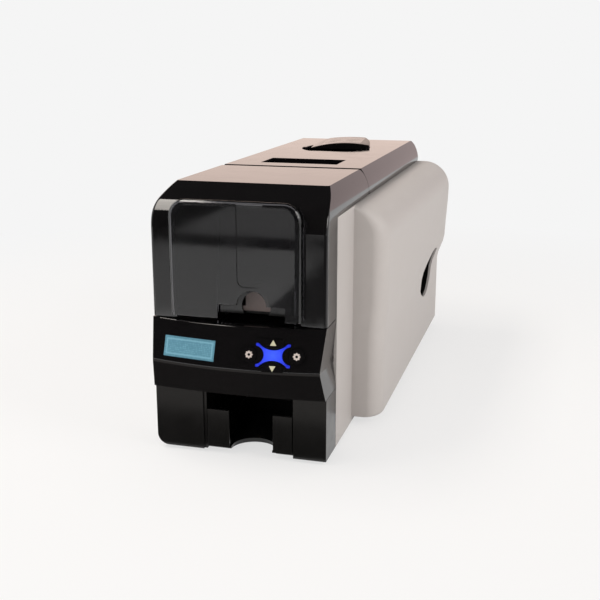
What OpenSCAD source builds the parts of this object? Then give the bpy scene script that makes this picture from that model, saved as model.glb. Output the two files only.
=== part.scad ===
// Desk-top printer for plastic identity cards.
// Origin: middle of the footprint on the table. X to the right, Y to the rear, Z up.
// In the modules below, d is the distance behind the front plane of the casing.

/* [Casing] */
// Width of the casing at its front half
body_w = 150; // [144:1:160]
// Width across the bulged rear half
bulge_w = 226; // [214:1:236]
// Height of the casing above its underside
body_h = 224; // [218:1:232]
// Length from the front plane to the rear face
body_l = 448; // [440:1:470]
// Height of the feet below the casing
foot_h = 3; // [2:0.5:5]
// Thickness of the moulded walls
wall = 2.5; // [2:0.1:3]
// Gap along the seams between casing parts
seam = 0.8; // [0.5:0.1:1]
// Height of the bevel along both sides of the top
bevel_h = 24; // [20:1:27]
// Radius of that bevel in section
bevel_r = 38; // [32:1:44]
// Depth of the gloss strip along each side of the front
strip_d = 33; // [28:1:36]

/* [Front door] */
// Length of the door's top from the front plane
door_l = 158; // [154:1:164]
// Distance from the front plane to the crease of the top
crease_d = 38.5; // [34:0.5:44]
// Slope of the front of the top, in degrees
slope_a = 25; // [22:1:30]
// Radius between the front and that slope
front_r = 25; // [18:1:28]
// Radius of the door's rear edge round its hinge pin
edge_r = 8; // [7:0.5:9]
// Radius of the door's upright front edges
edge_round = 3; // [3:0.5:8]
// Radius of the hinge pins of door and top cover
pin_r = 2; // [1.5:0.1:2.5]
// Width of the door's opening behind the window
window_w = 109; // [100:1:114]
// Height of the window's top edge above the casing underside
window_top = 215; // [208:1:217]
// Corner radius of the window
window_r = 12; // [8:1:16]
// How far the window bulges ahead of the door
window_out = 10; // [6:1:14]
// Thickness of the smoked window
window_t = 2; // [1.5:0.1:3]

/* [Control fascia] */
// Height of the seam between door and fascia above the casing underside
fascia_top = 115; // [112:1:118]
// Height of the fascia's lip
lip_h = 80; // [76:1:84]
// How far the lip stands ahead of the front plane
lip_out = 20; // [17:1:24]
// How far the fascia's top edge stands ahead of the front plane
shelf_out = 10; // [7:1:13]
// How far the ends of the lip stand ahead of the front plane
lip_end = 11; // [8:1:14]
// How much narrower the lip is than the casing, each side
lip_in = 3; // [1:0.5:5]
// Height of the fascia's lower edge
fascia_low = 54.5; // [52:0.5:58]
// Width of the visible display
display_w = 46.5; // [40:0.5:52]
// Height of the visible display
display_h = 17; // [14:0.5:20]
// Distance of the display's middle from the centre line, to the left
display_x = 38.5; // [36:0.5:41]
// Distance of the keys' middle from the centre line, to the right
keys_x = 34; // [31:0.5:36]
// Height of the middle of the keys above the casing underside
keys_h = 93.6; // [92:0.1:95]
// Radius of the round left and right keys
key_r = 6.5; // [5.5:0.1:7]
// Distance of the round keys from the middle of the light
key_reach = 19.5; // [18.5:0.5:22]
// Travel of the keys
key_travel = 0.8; // [0.6:0.1:1]
// Gap round each key
key_gap = 0.35; // [0.2:0.05:0.5]

/* [Output tray] */
// Left side of the tray bay from the centre line
bay_left = 32.5; // [31:0.5:36]
// Right side of the tray bay from the centre line
bay_right = 46.5; // [46:0.5:50]
// Height of the blocks beside the bay
block_h = 54; // [51:0.5:54]
// Height of the tray's front lips
lips_h = 33.5; // [28:0.5:36]
// Width of the left lip
lip_left_w = 19.5; // [16:0.5:21]
// Width of the right lip
lip_right_w = 17; // [14:0.5:18]
// Length of the tray
tray_l = 96; // [94:0.5:97]
// Radius of the left block's lower outer corner
corner_r = 10; // [6:1:12]
// Radius of the thumb notch
notch_r = 18; // [15:0.5:20]
// Depth of the thumb notch
notch_d = 24; // [20:0.5:28]
// Gap between the tray and its bay
tray_gap = 0.8; // [0.4:0.1:1]

/* [Cards] */
// Middle of the card path, to the right of the centre line
card_x = 11; // [9:0.5:12]
// Width of a card
card_w = 54; // [52:0.5:55]
// Length of a card
card_l = 85.6; // [84:0.1:86]
// Height of the card path above the door seam
card_rise = 6; // [5:0.5:7]
// Room beside a card in the hopper
card_gap = 1.5; // [1:0.1:1.8]

/* [Mechanism] */
// Gear module
gear_m = 1.2; // [1.1:0.05:1.2]
// Teeth of the roller and idler gears
gear_teeth = 30; // [28:1:31]
// Teeth of the motor pinion
pinion_teeth = 14; // [12:1:15]
// Thinning of each gear tooth for backlash
backlash = 0.2; // [0.1:0.05:0.3]
// Width of the gears
gear_w = 6; // [5:0.5:7]
// Radius of the rollers
roller_r = 7; // [6:0.5:7.5]
// Radius of the roller shafts
shaft_r = 3; // [2.5:0.1:3.5]
// Running clearance of shafts and pins in their bores
run_gap = 0.05; // [0.02:0.01:0.1]
// Thickness of the steel frame plates
frame_t = 1.5; // [1.2:0.1:2]
// Distance of the pick roller from the front plane
pick_d = 68; // [64:1:72]
// Radius of the supply roll of ribbon
supply_r = 13; // [10:0.5:14]
// Radius of the take-up roll of ribbon
takeup_r = 10; // [8:0.5:14]
// Radius of the drive motor
motor_r = 17; // [14:0.5:17.5]

/* [Grips] */
// Half width of the eye-shaped grip on the top cover
eye_hw = 37; // [32:1:40]
// Reach of that grip in front of its middle
eye_front = 46; // [30:1:50]
// Reach of that grip behind its middle
eye_back = 58; // [48:1:62]
// Distance of its middle from the front plane
eye_d = 336; // [330:1:345]
// Height of its visor above the top
visor_h = 8; // [5:0.5:9]
// Half length of the side grips
side_eye_hw = 45; // [40:1:48]
// Width of the finger recess in the top cover
recess_w = 76; // [70:1:80]
// Length of that recess
recess_l = 40; // [34:1:42]
// Depth of that recess
recess_h = 14; // [10:1:15]

/* [Hidden] */
$fn = 64;

gloss_black = [0.06, 0.055, 0.055];
matt_black = [0.15, 0.15, 0.15];
light_grey = [0.74, 0.71, 0.69];
steel = [0.7, 0.7, 0.72];
natural = [0.86, 0.85, 0.8];
rubber_dark = [0.12, 0.12, 0.13];

// Heights of the casing, from the table up
z_low = foot_h;
z_top = foot_h + body_h;
z_bevel = z_top - bevel_h;
z_seam = foot_h + fascia_top;
z_lip = foot_h + lip_h;
z_fascia = foot_h + fascia_low;
z_block = foot_h + block_h;
z_rail = z_bevel - seam / 2;
half_w = body_w / 2;
front_y = (lip_out - body_l) / 2;

// Hinges of door and top cover
pin_z = z_top - edge_r;
door_pin_d = door_l - edge_r;
cover_d = door_l + seam;
cover_pin_d = body_l - edge_r;
tail_drop = 12;
tail_in = 4;
knuckle_r = edge_r - wall - 0.5;
ear_r = knuckle_r - 0.5;
knuckle_w = 7;
ear_w = 4;
hinge_x = 52;
pin_gap = 0.5;

// Front outline of the door
arc_z = z_top - front_r * sin(90 + slope_a)
  - (crease_d - front_r - front_r * cos(90 + slope_a)) * tan(slope_a);

// Base pan
pan_z = z_low + 2.5;
pan_t = 2.5;
floor_z = pan_z + pan_t;
foot_r = 8;
foot_x = 60;
foot_front = 62;
foot_rear = body_l - 33;
boss_r = 5;
pan_start = strip_d + 1;
bay_l = 100;
bay_floor = 2.5;
bay_wall = 2.5;
bay_front = 6;

// Bulge of the side panels
bulge_d = 95;
bulge_round = 18;
bulge_step = 13.5;
bulge_in = half_w;
bulge_low = 102;
bulge_front = 105;
bulge_z = foot_h + 5;
bulge_waist = foot_h + 88;
shoulder_r = 30;
flare_h = z_rail - shoulder_r - bulge_waist;
skin_x = 6;

// Screws of the rear panel
screw_r = 1.5;
screw_head = 3;
screw_sink = 1.2;
screw_x = 64;
screw_z = floor_z + 6;
flange_top = screw_z + 6;
peg_r = 1.5;

// Card path
card_z = z_seam + card_rise;
axle_z = card_z - roller_r;
hop_in = card_w / 2 + card_gap;
hop_t = 2;
hop_out = hop_in + hop_t;
hop_d = 12;
hop_l = card_l + 2 * hop_t + 2.4;
hop_top = arc_z + 13;
frame_in = hop_out + 2.5;
left_face = card_x - frame_in;
right_face = card_x + frame_in;

// Gear train
pitch_r = gear_m * gear_teeth / 2;
pinion_pr = gear_m * pinion_teeth / 2;
gear_x = right_face + frame_t + 1.5;
feed_d = pick_d + 4 * pitch_r;
platen_d = feed_d + 4 * pitch_r;
exit_z = axle_z - 4 * pitch_r;
motor_z = axle_z - pitch_r - pinion_pr;
shaft_left = left_face - frame_t - 3;
shaft_right = gear_x + gear_w + 2;
bush_r = shaft_r + 2;
half_pitch = 180 / gear_teeth;

// Ribbon cartridge
cheek_t = 2;
cheek_gap = 0.5;
spool_z = card_z + 40;
supply_d = platen_d - 44;
takeup_d = platen_d + 44;
cart_front = supply_d - supply_r - 3.5;
cart_back = takeup_d + 20;
film_t = 0.3;
film_z = card_z + 1.2;
head_z = film_z + film_t + 0.4;
head_w = 58;
head_t = 18;

// Frame plates
frame_front = 14;
frame_low_z = floor_z + 1.5;
frame_step_d = hop_d + hop_l + 3;
frame_end = body_l - 24;
frame_top = z_rail - 7;
bridge_d = door_pin_d - 22;
bridge_l = 18;
bridge_z = frame_top;
bridge_t = 5;

// Frames on the sloping control panel
panel_tilt = atan((lip_out - shelf_out) / (z_seam - z_lip));
keys_z = foot_h + keys_h;
keys_yaw = 6;
display_yaw = -7;
display_in = 1.1;
low_out = 8;
low_end = 3;
key_flange = 0.9;
board_z = -7.8;
key_cap = 3;
key_proud = 0.6;
light_hw = 14;
light_hh = 9.5;
light_top_r = 15.8;
light_top_c = 20;
light_side_r = 7.5;
light_side_c = 15;

// Finger recess and latch of the top cover
recess_d = 182;
latch_d = recess_d - 2;
latch_z = z_top - 7;
latch_t = 2.5;
latch_hw = 34;
side_eye_d = body_l - 88;
side_eye_z = foot_h + 86.5;
side_eye_a = 21;
side_eye_low = 27;
side_eye_up = 17;

function arc(cx, cy, r, a0, a1, n) =
  [for (i = [0:n]) let (a = a0 + (a1 - a0) * i / n) [cx + r * cos(a), cy + r * sin(a)]];

// The front outline, moved inwards by i, from the seam up to the crease
function crease(i) =
  let (r = front_r - i, ed = front_r + r * cos(90 + slope_a), ez = arc_z + r * sin(90 + slope_a))
  ed + (z_top - i - ez) / tan(slope_a);
function front_line(i, z0) = concat([[i, z0]],
  arc(front_r, arc_z, front_r - i, 180, 90 + slope_a, 8), [[crease(i), z_top - i]]);

// The fascia's plan at height z: half width, and how far its middle and ends stand out
function mix(a, b, t) = a + (b - a) * t;
function rise(z) = (z - z_lip) / (z_seam - z_lip);
function fall(z) = (z_lip - z) / (z_lip - z_fascia);
function fascia_hw(z) = half_w - lip_in * (z > z_lip ? 1 - rise(z) : 1 - fall(z));
function fascia_mid(z) = z > z_lip ? mix(lip_out, shelf_out, rise(z)) : mix(lip_out, low_out, fall(z));
function fascia_end(z) = z > z_lip ? mix(lip_end, 0, rise(z)) : mix(lip_end, low_end, fall(z));
function fascia_d(x, z) =
  -mix(fascia_mid(z), fascia_end(z), pow(x / fascia_hw(z), 2));

module at_front() translate([0, front_y, 0]) children();
module box(x0, x1, d0, d1, z0, z1) translate([x0, d0, z0]) cube([x1 - x0, d1 - d0, z1 - z0]);
module rod(x0, x1, d, z, r) translate([x0, d, z]) rotate([0, 90, 0]) cylinder(h = x1 - x0, r = r);
module along_x(x0, l) translate([x0, 0, 0]) rotate([90, 0, 90]) linear_extrude(l) children();
module along_y(d0, l) translate([0, d0 + l, 0]) rotate([90, 0, 0]) linear_extrude(l) children();
module upward(z0, h) translate([0, 0, z0]) linear_extrude(h) children();
module tube(x0, x1, d, z, r, bore) {
  difference() {
    rod(x0, x1, d, z, r);
    rod(x0 - 1, x1 + 1, d, z, bore);
  }
}
module both_sides() {
  children();
  mirror([1, 0, 0]) children();
}

// Section across the casing's top, moved inwards by i
module top_section(i, z0) {
  intersection() {
    union() {
      for (s = [-1, 1]) translate([s * (half_w - bevel_r), z_bevel]) circle(r = bevel_r - i);
      translate([-(half_w - i), z0]) square([2 * (half_w - i), z_bevel - z0]);
      translate([-(half_w - bevel_r), z_bevel]) square([2 * (half_w - bevel_r), bevel_r - i]);
    }
    translate([-half_w, z0]) square([2 * half_w, z_top - i - z0]);
  }
}

// An eye-shaped outline with its tips on the x axis
module eye_arc(hw, reach) {
  r = (hw * hw + reach * reach) / (2 * reach);
  translate([0, reach - r]) circle(r = r);
}
module eye(hw, up, down) {
  intersection() {
    eye_arc(hw, up);
    translate([-2 * hw, 0]) square([4 * hw, 2 * up]);
  }
  intersection() {
    mirror([0, 1]) eye_arc(hw, down);
    translate([-2 * hw, -2 * down]) square([4 * hw, 2 * down]);
  }
}

// Base pan with the gap for the tray bay
module base_pan() color(matt_black) at_front() {
  difference() {
    union() {
      box(-half_w + wall + seam, half_w - wall - seam, pan_start, body_l - wall - 1, pan_z, floor_z);
      box(-screw_x - 6, screw_x + 6, body_l - wall - 5, body_l - wall - 0.3, pan_z, flange_top);
      for (s = [-1, 1]) for (d = [foot_front, foot_rear])
        translate([s * foot_x, d, floor_z]) cylinder(h = 4, r = boss_r);
    }
    box(-bay_left - seam, bay_right + bay_wall + seam, pan_start - 1, bay_l + seam, pan_z - 1,
      floor_z + 1);
    for (s = [-1, 1]) for (d = [foot_front, foot_rear])
      translate([s * foot_x, d, pan_z - 1]) cylinder(h = 12, r = peg_r + run_gap);
    at_screws() translate([0, 0, -10]) cylinder(h = 12, r = screw_r + run_gap);
  }
}
// Screws through the rear panel, with z out of the rear face
module at_screws() {
  for (x = [-screw_x, -screw_x / 3, screw_x / 3, screw_x])
    translate([x, body_l, screw_z]) rotate([-90, 0, 0]) children();
}

// Lower front: two hollow blocks and the bay of the output tray
module block_outline(x0, x1, i) {
  translate([x0 + i + (x1 < 0 ? corner_r : 0), z_low + i])
    square([x1 - x0 - 2 * i - (x1 < 0 ? corner_r : 0), z_block - z_low - 2 * i]);
  if (x1 < 0) {
    translate([x0 + i, z_low + corner_r]) square([corner_r, z_block - z_low - corner_r - i]);
    translate([x0 + corner_r, z_low + corner_r]) circle(r = corner_r - i);
  }
}
module front_block(x0, x1) {
  difference() {
    along_y(0, strip_d) block_outline(x0, x1, 0);
    along_y(wall, strip_d) block_outline(x0, x1, wall);
  }
}
module lower_front() color(matt_black) at_front() {
  difference() {
    union() {
      front_block(-half_w, -bay_left);
      front_block(bay_right, half_w);
      box(-bay_left - 1, bay_right + 1, bay_front, bay_l, z_low, z_low + bay_floor);
      box(-bay_left, -bay_left + bay_wall, 2, bay_l, z_low, z_block);
      box(bay_right, bay_right + bay_wall, strip_d - 1, bay_l, z_low, z_block);
    }
    thumb_notch(z_low - 1, bay_floor + 2, notch_r + 2);
  }
}
module thumb_notch(z0, h, r) {
  translate([card_x - 1, notch_d - notch_r, z0]) cylinder(h = h, r = r);
  box(card_x - 1 - r, card_x - 1 + r, -2, notch_d - notch_r, z0, z0 + h);
}

// Output tray with its two front lips
module output_tray() color(matt_black) at_front() {
  x0 = -bay_left + bay_wall + tray_gap;
  x1 = bay_right - tray_gap;
  z0 = z_low + bay_floor + 0.3;
  side = 2;
  pocket = card_w / 2 + card_gap;
  difference() {
    union() {
      box(x0, x1, 0.5, tray_l, z0, z0 + 2);
      box(x0, x0 + side, 3, tray_l, z0, z0 + 20);
      box(x1 - side, x1, 3, tray_l, z0, z0 + 20);
      box(card_x - pocket - side, card_x - pocket, 3, tray_l, z0, z0 + 20);
      box(card_x + pocket, card_x + pocket + side, 3, tray_l, z0, z0 + 20);
      box(x0, x1, tray_l - side, tray_l, z0, z0 + 12);
      box(x0, x0 + lip_left_w, 0.5, 3, z0, z0 + lips_h);
      box(x1 - lip_right_w, x1, 0.5, 3, z0, z0 + lips_h);
      box(x0, x0 + side, 0.5, 12, z0, z0 + lips_h);
      box(x1 - side, x1, 0.5, 12, z0, z0 + lips_h);
    }
    thumb_notch(z0 - 1, 4, notch_r);
  }
}

// Control fascia
module fascia_plan(z, i, back) {
  n = 24;
  hw = fascia_hw(z) - i;
  polygon(concat([for (k = [0:n]) let (x = -hw + 2 * hw * k / n) [x, fascia_d(x, z) + i]],
    [[hw, back], [-hw, back]]));
}
module fascia_body(i, back) {
  z1 = z_seam - seam / 2 - i;
  z2 = z_fascia + i;
  hull() {
    upward(z1 - 0.01, 0.01) fascia_plan(z1, i, back);
    upward(z_lip, 0.01) fascia_plan(z_lip, i, back);
    upward(z2, 0.01) fascia_plan(z2, i, back);
  }
}
module at_keys() {
  translate([keys_x, fascia_d(keys_x, keys_z), keys_z]) rotate([0, 0, keys_yaw])
    rotate([90 - panel_tilt, 0, 0]) children();
}
module at_display() {
  translate([-display_x, fascia_d(-display_x, keys_z), keys_z]) rotate([0, 0, display_yaw])
    rotate([90 - panel_tilt, 0, 0]) children();
}
module light_outline(i) {
  difference() {
    square([2 * (light_hw - i), 2 * (light_hh - i)], center = true);
    for (s = [-1, 1]) {
      translate([0, s * light_top_c]) circle(r = light_top_r + i);
      translate([s * light_side_c, 0]) circle(r = light_side_r + i);
    }
  }
}
// Outline of the upper key, which fits the hollow of the light
module arrow_key_outline(i) {
  intersection() {
    translate([0, light_top_c]) circle(r = light_top_r - 1.3 + i);
    translate([-8.5 - i, 0]) square([17 + 2 * i, 13.2 + i]);
  }
}
module control_fascia() color(gloss_black) at_front() {
  difference() {
    union() {
      difference() {
        fascia_body(0, strip_d);
        fascia_body(wall, strip_d + 5);
      }
      at_keys() for (s = [-1, 1]) for (t = [-1, 1])
        translate([s * 29, t * 9.5, board_z + 1.6]) cylinder(h = 3.6, r = 2);
      at_display() for (s = [-1, 1]) for (t = [-1, 1])
        translate([s * (display_w / 2 + 1.9), t * 9.5, -4.5]) cylinder(h = 1.6, r = 1.2);
    }
    at_keys() translate([0, 0, -6]) linear_extrude(14) {
      light_outline(-0.15);
      arrow_key_outline(key_gap);
      mirror([0, 1]) arrow_key_outline(key_gap);
      for (s = [-1, 1]) translate([s * key_reach, 0]) circle(r = key_r + key_gap);
    }
    at_keys() for (s = [-1, 1]) translate([s * key_reach, 0, -8])
      cylinder(h = 8 + flange_z + key_flange + 0.3, r = key_r + 1.4);
    at_display() translate([0, 0, -8]) linear_extrude(14)
      square([display_w + 0.4, display_h + 0.4], center = true);
  }
}

// Display: glass in front, circuit board behind
module display_module() color([0.35, 0.5, 0.56]) at_front() at_display() {
  translate([0, 0, -4.5]) linear_extrude(4.5 - display_in)
    square([display_w, display_h], center = true);
  translate([0, 0, -6.1]) linear_extrude(1.6) square([display_w + 7, display_h + 5], center = true);
}

// Lit light guide between the keys
module light_guide() color([0.15, 0.3, 0.95]) at_front() at_keys()
  translate([0, 0, board_z + 1.6]) linear_extrude(8.1 - 1.6) light_outline(0);

// Circuit board with a push switch under each key
module control_board() color([0.1, 0.35, 0.2]) at_front() at_keys() {
  difference() {
    translate([0, 0, board_z]) linear_extrude(1.6) square([66, 26], center = true);
    for (s = [-1, 1]) for (t = [-1, 1])
      translate([s * 29, t * 9.5, board_z - 1]) cylinder(h = 4, r = 1.1);
  }
  translate([0, 0, board_z + 1.6]) linear_extrude(0.8) for (s = [-1, 1]) {
    translate([0, s * 9.6]) square([5, 4], center = true);
    translate([s * key_reach, 0]) square([5, 4], center = true);
  }
}
module key_stem() {
  z0 = board_z + 2.4 + key_travel + 0.1;
  translate([0, 0, z0]) cylinder(h = -z0, r = 1.8);
}
flange_z = -4.3;
module arrow_key() {
  translate([0, 0, key_proud - key_cap]) linear_extrude(key_cap) arrow_key_outline(0);
  translate([0, 0, flange_z]) linear_extrude(key_flange) arrow_key_outline(-0.2);
  translate([0, 0, flange_z]) linear_extrude(key_flange) translate([-9.6, 8.5]) square([19.2, 5]);
  translate([0, 0, flange_z]) linear_extrude(-flange_z) arrow_key_outline(-1);
  translate([0, 9.6, 0]) key_stem();
}
module round_key() {
  translate([0, 0, key_proud - key_cap]) cylinder(h = key_cap, r = key_r);
  translate([0, 0, flange_z]) cylinder(h = key_flange, r = key_r + 0.9);
  translate([0, 0, flange_z]) cylinder(h = 4, r = key_r - 1);
  key_stem();
}
module up_button() color(gloss_black) at_front() at_keys() arrow_key();
module down_button() color(gloss_black) at_front() at_keys() mirror([0, 1, 0]) arrow_key();
module left_button() color(gloss_black) at_front() at_keys() translate([-key_reach, 0, 0]) round_key();
module right_button() color(gloss_black) at_front() at_keys() translate([key_reach, 0, 0]) round_key();

// Side panels with their bulge
// Section of the bulge's lower half
module bulge_lower(hw, i) {
  z1 = bulge_waist + 0.22 * flare_h;
  polygon(concat([[bulge_in - skin_x, bulge_z + i]],
    arc(hw - i - 4, bulge_z + i + 4, 4, -90, 0, 4), [[hw - i, z1], [bulge_in - skin_x, z1]]));
}
// Section of the upper half, which flares from hw to top_hw
module bulge_upper(hw, top_hw, i) {
  flare = top_hw - hw;
  in_x = min(bulge_in - skin_x, top_hw - shoulder_r);
  intersection() {
    polygon(concat([[in_x, bulge_waist - 6 + i], [hw - i, bulge_waist],
      [hw + 0.7 * flare - i, bulge_waist + 0.22 * flare_h],
      [hw + 0.85 * flare - i, bulge_waist + 0.54 * flare_h],
      [top_hw - i, bulge_waist + 0.86 * flare_h]],
      arc(top_hw - shoulder_r, z_rail - shoulder_r, shoulder_r - i, 0, 90, 8),
      top_hw - shoulder_r > in_x ? [[in_x, z_rail - i]] : []));
    translate([bulge_in - skin_x, 0]) square([bulge_w, z_top]);
  }
}
// The bulge's plan: distance behind the step and setback of the outer face
function round_d(t) = bulge_d + bulge_round * (1 - cos(t));
function round_in(t) = bulge_step * (1 - sin(t));
module bulge_hull(i, rear, lower) {
  full = bulge_w / 2;
  hull() {
    for (t = [0, 22.5, 45, 67.5, 90]) {
      along_y(round_d(t) + i, 0.01) {
        if (lower) bulge_lower(bulge_low - round_in(t), i);
        else bulge_upper(bulge_low - round_in(t), bulge_front - round_in(t), i);
      }
    }
    along_y(bulge_d + i, 0.01) {
      if (lower) bulge_lower(bulge_in + 0.5, i);
      else bulge_upper(bulge_in, bulge_in + 0.5, i);
    }
    along_y(rear, 0.01) {
      if (lower) bulge_lower(bulge_low, i);
      else bulge_upper(bulge_low, full, i);
    }
  }
}
module side_eye(i) {
  along_x(0, 200) translate([side_eye_d, side_eye_z]) rotate(side_eye_a)
    eye(side_eye_hw - i, side_eye_up - i, side_eye_low - i);
}
module side_panel() {
  difference() {
    union() {
      box(half_w - wall, half_w, strip_d + seam, body_l, z_low, z_rail);
      bulge_hull(0, body_l - 0.01, true);
      bulge_hull(0, body_l - 0.01, false);
    }
    bulge_hull(wall, body_l + 1, true);
    bulge_hull(wall, body_l + 1, false);
    box(0, half_w - wall, 0, body_l + 2, 0, z_top);
    side_eye(0);
  }
}
module right_side_panel() color(light_grey) at_front() side_panel();
module left_side_panel() color(light_grey) at_front() mirror([1, 0, 0]) side_panel();

// Dark cups behind the eye-shaped openings
module grip_cups() color(matt_black) at_front() both_sides() {
  floor_x = bulge_low - 22;
  rim_x = bulge_low - wall - 0.4;
  intersection() {
    box(floor_x, rim_x, 0, body_l, 0, z_top);
    difference() {
      side_eye(-2.5);
      intersection() {
        side_eye(0);
        box(floor_x + 2, bulge_w, 0, body_l, 0, z_top);
      }
    }
  }
}

// Rear panel, set into the rear of both side panels
inlet_x = -46;
inlet_z = foot_h + 30;
inlet_w = 27;
inlet_h = 20;
switch_x = -20;
switch_w = 13;
switch_h = 19;
port_x = 30;
port_z = foot_h + 30;
usb_w = 12;
usb_h = 11;
net_x = 50;
net_w = 14;
net_h = 12;
module rear_panel() color(light_grey) at_front() {
  i = wall + 0.3;
  rim = 3;
  difference() {
    union() {
      along_y(body_l - wall, wall) {
        both_sides() {
          bulge_lower(bulge_low, i);
          bulge_upper(bulge_low, bulge_w / 2, i);
        }
        translate([-half_w + wall + 0.3, pan_z + 0.3])
          square([body_w - 2 * wall - 0.6, z_rail - i - pan_z]);
        translate([-half_w + 13, z_rail - 5]) square([body_w - 26, pin_z - 9.5 - z_rail + 5]);
      }
      along_y(body_l - wall - 6, 6) both_sides()
        translate([half_w - wall - 6, flange_top + 0.3]) square([rim, z_rail - 12 - flange_top]);
    }
    along_y(body_l - wall - 1, wall + 2) {
      translate([inlet_x, inlet_z]) square([inlet_w, inlet_h], center = true);
      translate([switch_x, inlet_z]) square([switch_w + 3, switch_h + 3], center = true);
      translate([port_x, port_z]) square([usb_w + 0.6, usb_h + 0.6], center = true);
      translate([net_x, port_z]) square([net_w + 0.6, net_h + 0.6], center = true);
      for (k = [0:7]) translate([-42 + k * 12, foot_h + 120]) square([6, 40], center = true);
    }
    at_screws() {
      translate([0, 0, -wall - 1]) cylinder(h = wall + 2, r = screw_r + run_gap);
      translate([0, 0, -screw_sink]) cylinder(h = 2, r = screw_head + 0.2);
    }
  }
  hinge_ears(cover_pin_d) {
    z1 = pin_z - edge_r;
    box(0, ear_w, cover_pin_d - ear_r, cover_pin_d - 0.5, z1 - 8, pin_z);
    box(0, ear_w, cover_pin_d - ear_r, body_l - wall + 0.5, z1 - 8, z1 - 1.5);
  }
}
module casing_screws() color(steel) at_front() at_screws() difference() {
  union() {
    translate([0, 0, -screw_sink]) cylinder(h = 1, r = screw_head);
    translate([0, 0, -9]) cylinder(h = 8, r = screw_r);
  }
  translate([0, 0, -0.8]) linear_extrude(1) {
    square([4, 0.8], center = true);
    square([0.8, 4], center = true);
  }
}
module feet() color(rubber_dark) at_front() {
  for (s = [-1, 1]) for (d = [foot_front, foot_rear]) translate([s * foot_x, d, 0]) {
    cylinder(h = pan_z, r1 = foot_r - 1, r2 = foot_r);
    translate([0, 0, pan_z - 0.5]) cylinder(h = 4, r = peg_r);
  }
}

// Cross bridge behind the hopper, with the ears of the door hinge
module hinge_ear(pin_d, back) {
  difference() {
    union() {
      rod(0, ear_w, pin_d, pin_z, ear_r);
      children();
    }
    rod(-1, ear_w + 1, pin_d, pin_z, pin_r + run_gap);
  }
}
// Both ears of a hinge; the children are their feet, from x = 0 to ear_w
module hinge_ears(pin_d) {
  for (x = [-hinge_x - ear_w - pin_gap, hinge_x + pin_gap]) translate([x, 0, 0])
    hinge_ear(pin_d) children();
}
module centre_bridge() color(matt_black) at_front() {
  z1 = bridge_z + bridge_t;
  box(-half_w + wall + seam, half_w - wall - seam, bridge_d, bridge_d + bridge_l, bridge_z, z1);
  hinge_ears(door_pin_d) {
    box(0, ear_w, door_pin_d - ear_r, door_pin_d - 0.5, z1 - 0.5, pin_z);
    box(0, ear_w, bridge_d + bridge_l - 6, door_pin_d - 0.5, z1 - 0.5, z1 + 4);
  }
}
// A knuckle that hangs from a cover's top plate, from x0 to x0 + knuckle_w
module knuckle(x0, pin_d) {
  difference() {
    union() {
      rod(x0, x0 + knuckle_w, pin_d, pin_z, knuckle_r);
      box(x0, x0 + knuckle_w, pin_d - knuckle_r, pin_d, pin_z, z_top - wall + 0.5);
    }
    rod(x0 - 1, x0 + knuckle_w + 1, pin_d, pin_z, pin_r + run_gap);
  }
}
module hinge_pins(pin_d) {
  for (x = [-hinge_x - ear_w - 2, hinge_x - knuckle_w - 1])
    rod(x, x + knuckle_w + ear_w + 3, pin_d, pin_z, pin_r);
}
module door_hinge_pins() color(steel) at_front() hinge_pins(door_pin_d);
module cover_hinge_pins() color(steel) at_front() hinge_pins(cover_pin_d);

// Front door: front legs, slope, top plate
module door_side(z0) {
  polygon(concat(front_line(0, z0), arc(door_pin_d, pin_z, edge_r, 90, 0, 8),
    [[door_l, pin_z - tail_drop], [door_pin_d + tail_in, z_bevel + seam / 2],
    [strip_d, z_bevel + seam / 2], [strip_d, z0]]));
}
module door_inside(z0) {
  polygon(concat(front_line(wall, z0 - 1), arc(door_pin_d, pin_z, edge_r - wall, 90, 0, 8),
    [[door_l + 1, pin_z], [door_l + 1, z0 - 1]]));
}
module window_outline(i, z0) {
  hw = window_w / 2 - i;
  r = window_r - min(i, window_r - 2);
  top = foot_h + window_top - i;
  translate([-hw, z0]) square([2 * hw, top - r - z0]);
  translate([-hw + r, z0]) square([2 * hw - 2 * r, top - z0]);
  for (s = [-1, 1]) translate([s * (hw - r), top - r]) circle(r = r, $fn = 32);
}
module door_plan(i) {
  for (s = [-1, 1]) translate([s * (half_w - edge_round), edge_round]) circle(r = edge_round - i);
  translate([-half_w + i, edge_round]) square([2 * (half_w - i), door_l]);
  translate([-half_w + edge_round, i]) square([2 * (half_w - edge_round), door_l]);
}
module front_door() color(gloss_black) at_front() {
  z0 = z_seam + seam / 2;
  difference() {
    union() {
      difference() {
        intersection() {
          along_x(-half_w, body_w) door_side(z0);
          along_y(0, door_l) top_section(0, z0 - 1);
          upward(z0 - 1, body_h) door_plan(0);
        }
        intersection() {
          along_x(-half_w, body_w) door_inside(z0);
          along_y(-1, door_l + 3) top_section(wall, z0 - 2);
          upward(z0 - 2, body_h) door_plan(wall);
        }
      }
      knuckle(-hinge_x, door_pin_d);
      knuckle(hinge_x - knuckle_w, door_pin_d);
    }
    along_y(-1, crease_d - 4) window_outline(1, z0 - 1);
  }
}

// Smoked window: a bulged shell over the door's opening, whose rim lies on the door
module window_hull(i) {
  z0 = z_seam + 5 - 2 * i;
  hull() {
    along_y(0, crease_d - 8) window_outline(i - 1.5, z0);
    along_y(-0.6 * window_out + i, 0.01) window_outline(i, z0);
    along_y(-0.85 * window_out + i, 0.01) window_outline(i + 3, z0);
    along_y(-window_out + i, 0.01) window_outline(i + 16, z0);
  }
}
module door_window() color([0.2, 0.2, 0.21, 0.6]) at_front() {
  cut_z = foot_h + 129;
  difference() {
    window_hull(0);
    window_hull(window_t);
    along_x(-half_w, body_w) translate([-0.05, 0.05]) door_side(z_low);
    box(card_x - hop_out + 1.5, card_x + hop_out + 1.5, -window_out - 1, 2, z_seam, cut_z);
    translate([card_x + 1, 2, cut_z]) rotate([90, 0, 0]) cylinder(h = 2 * window_out, r = 12.5);
  }
}

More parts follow.
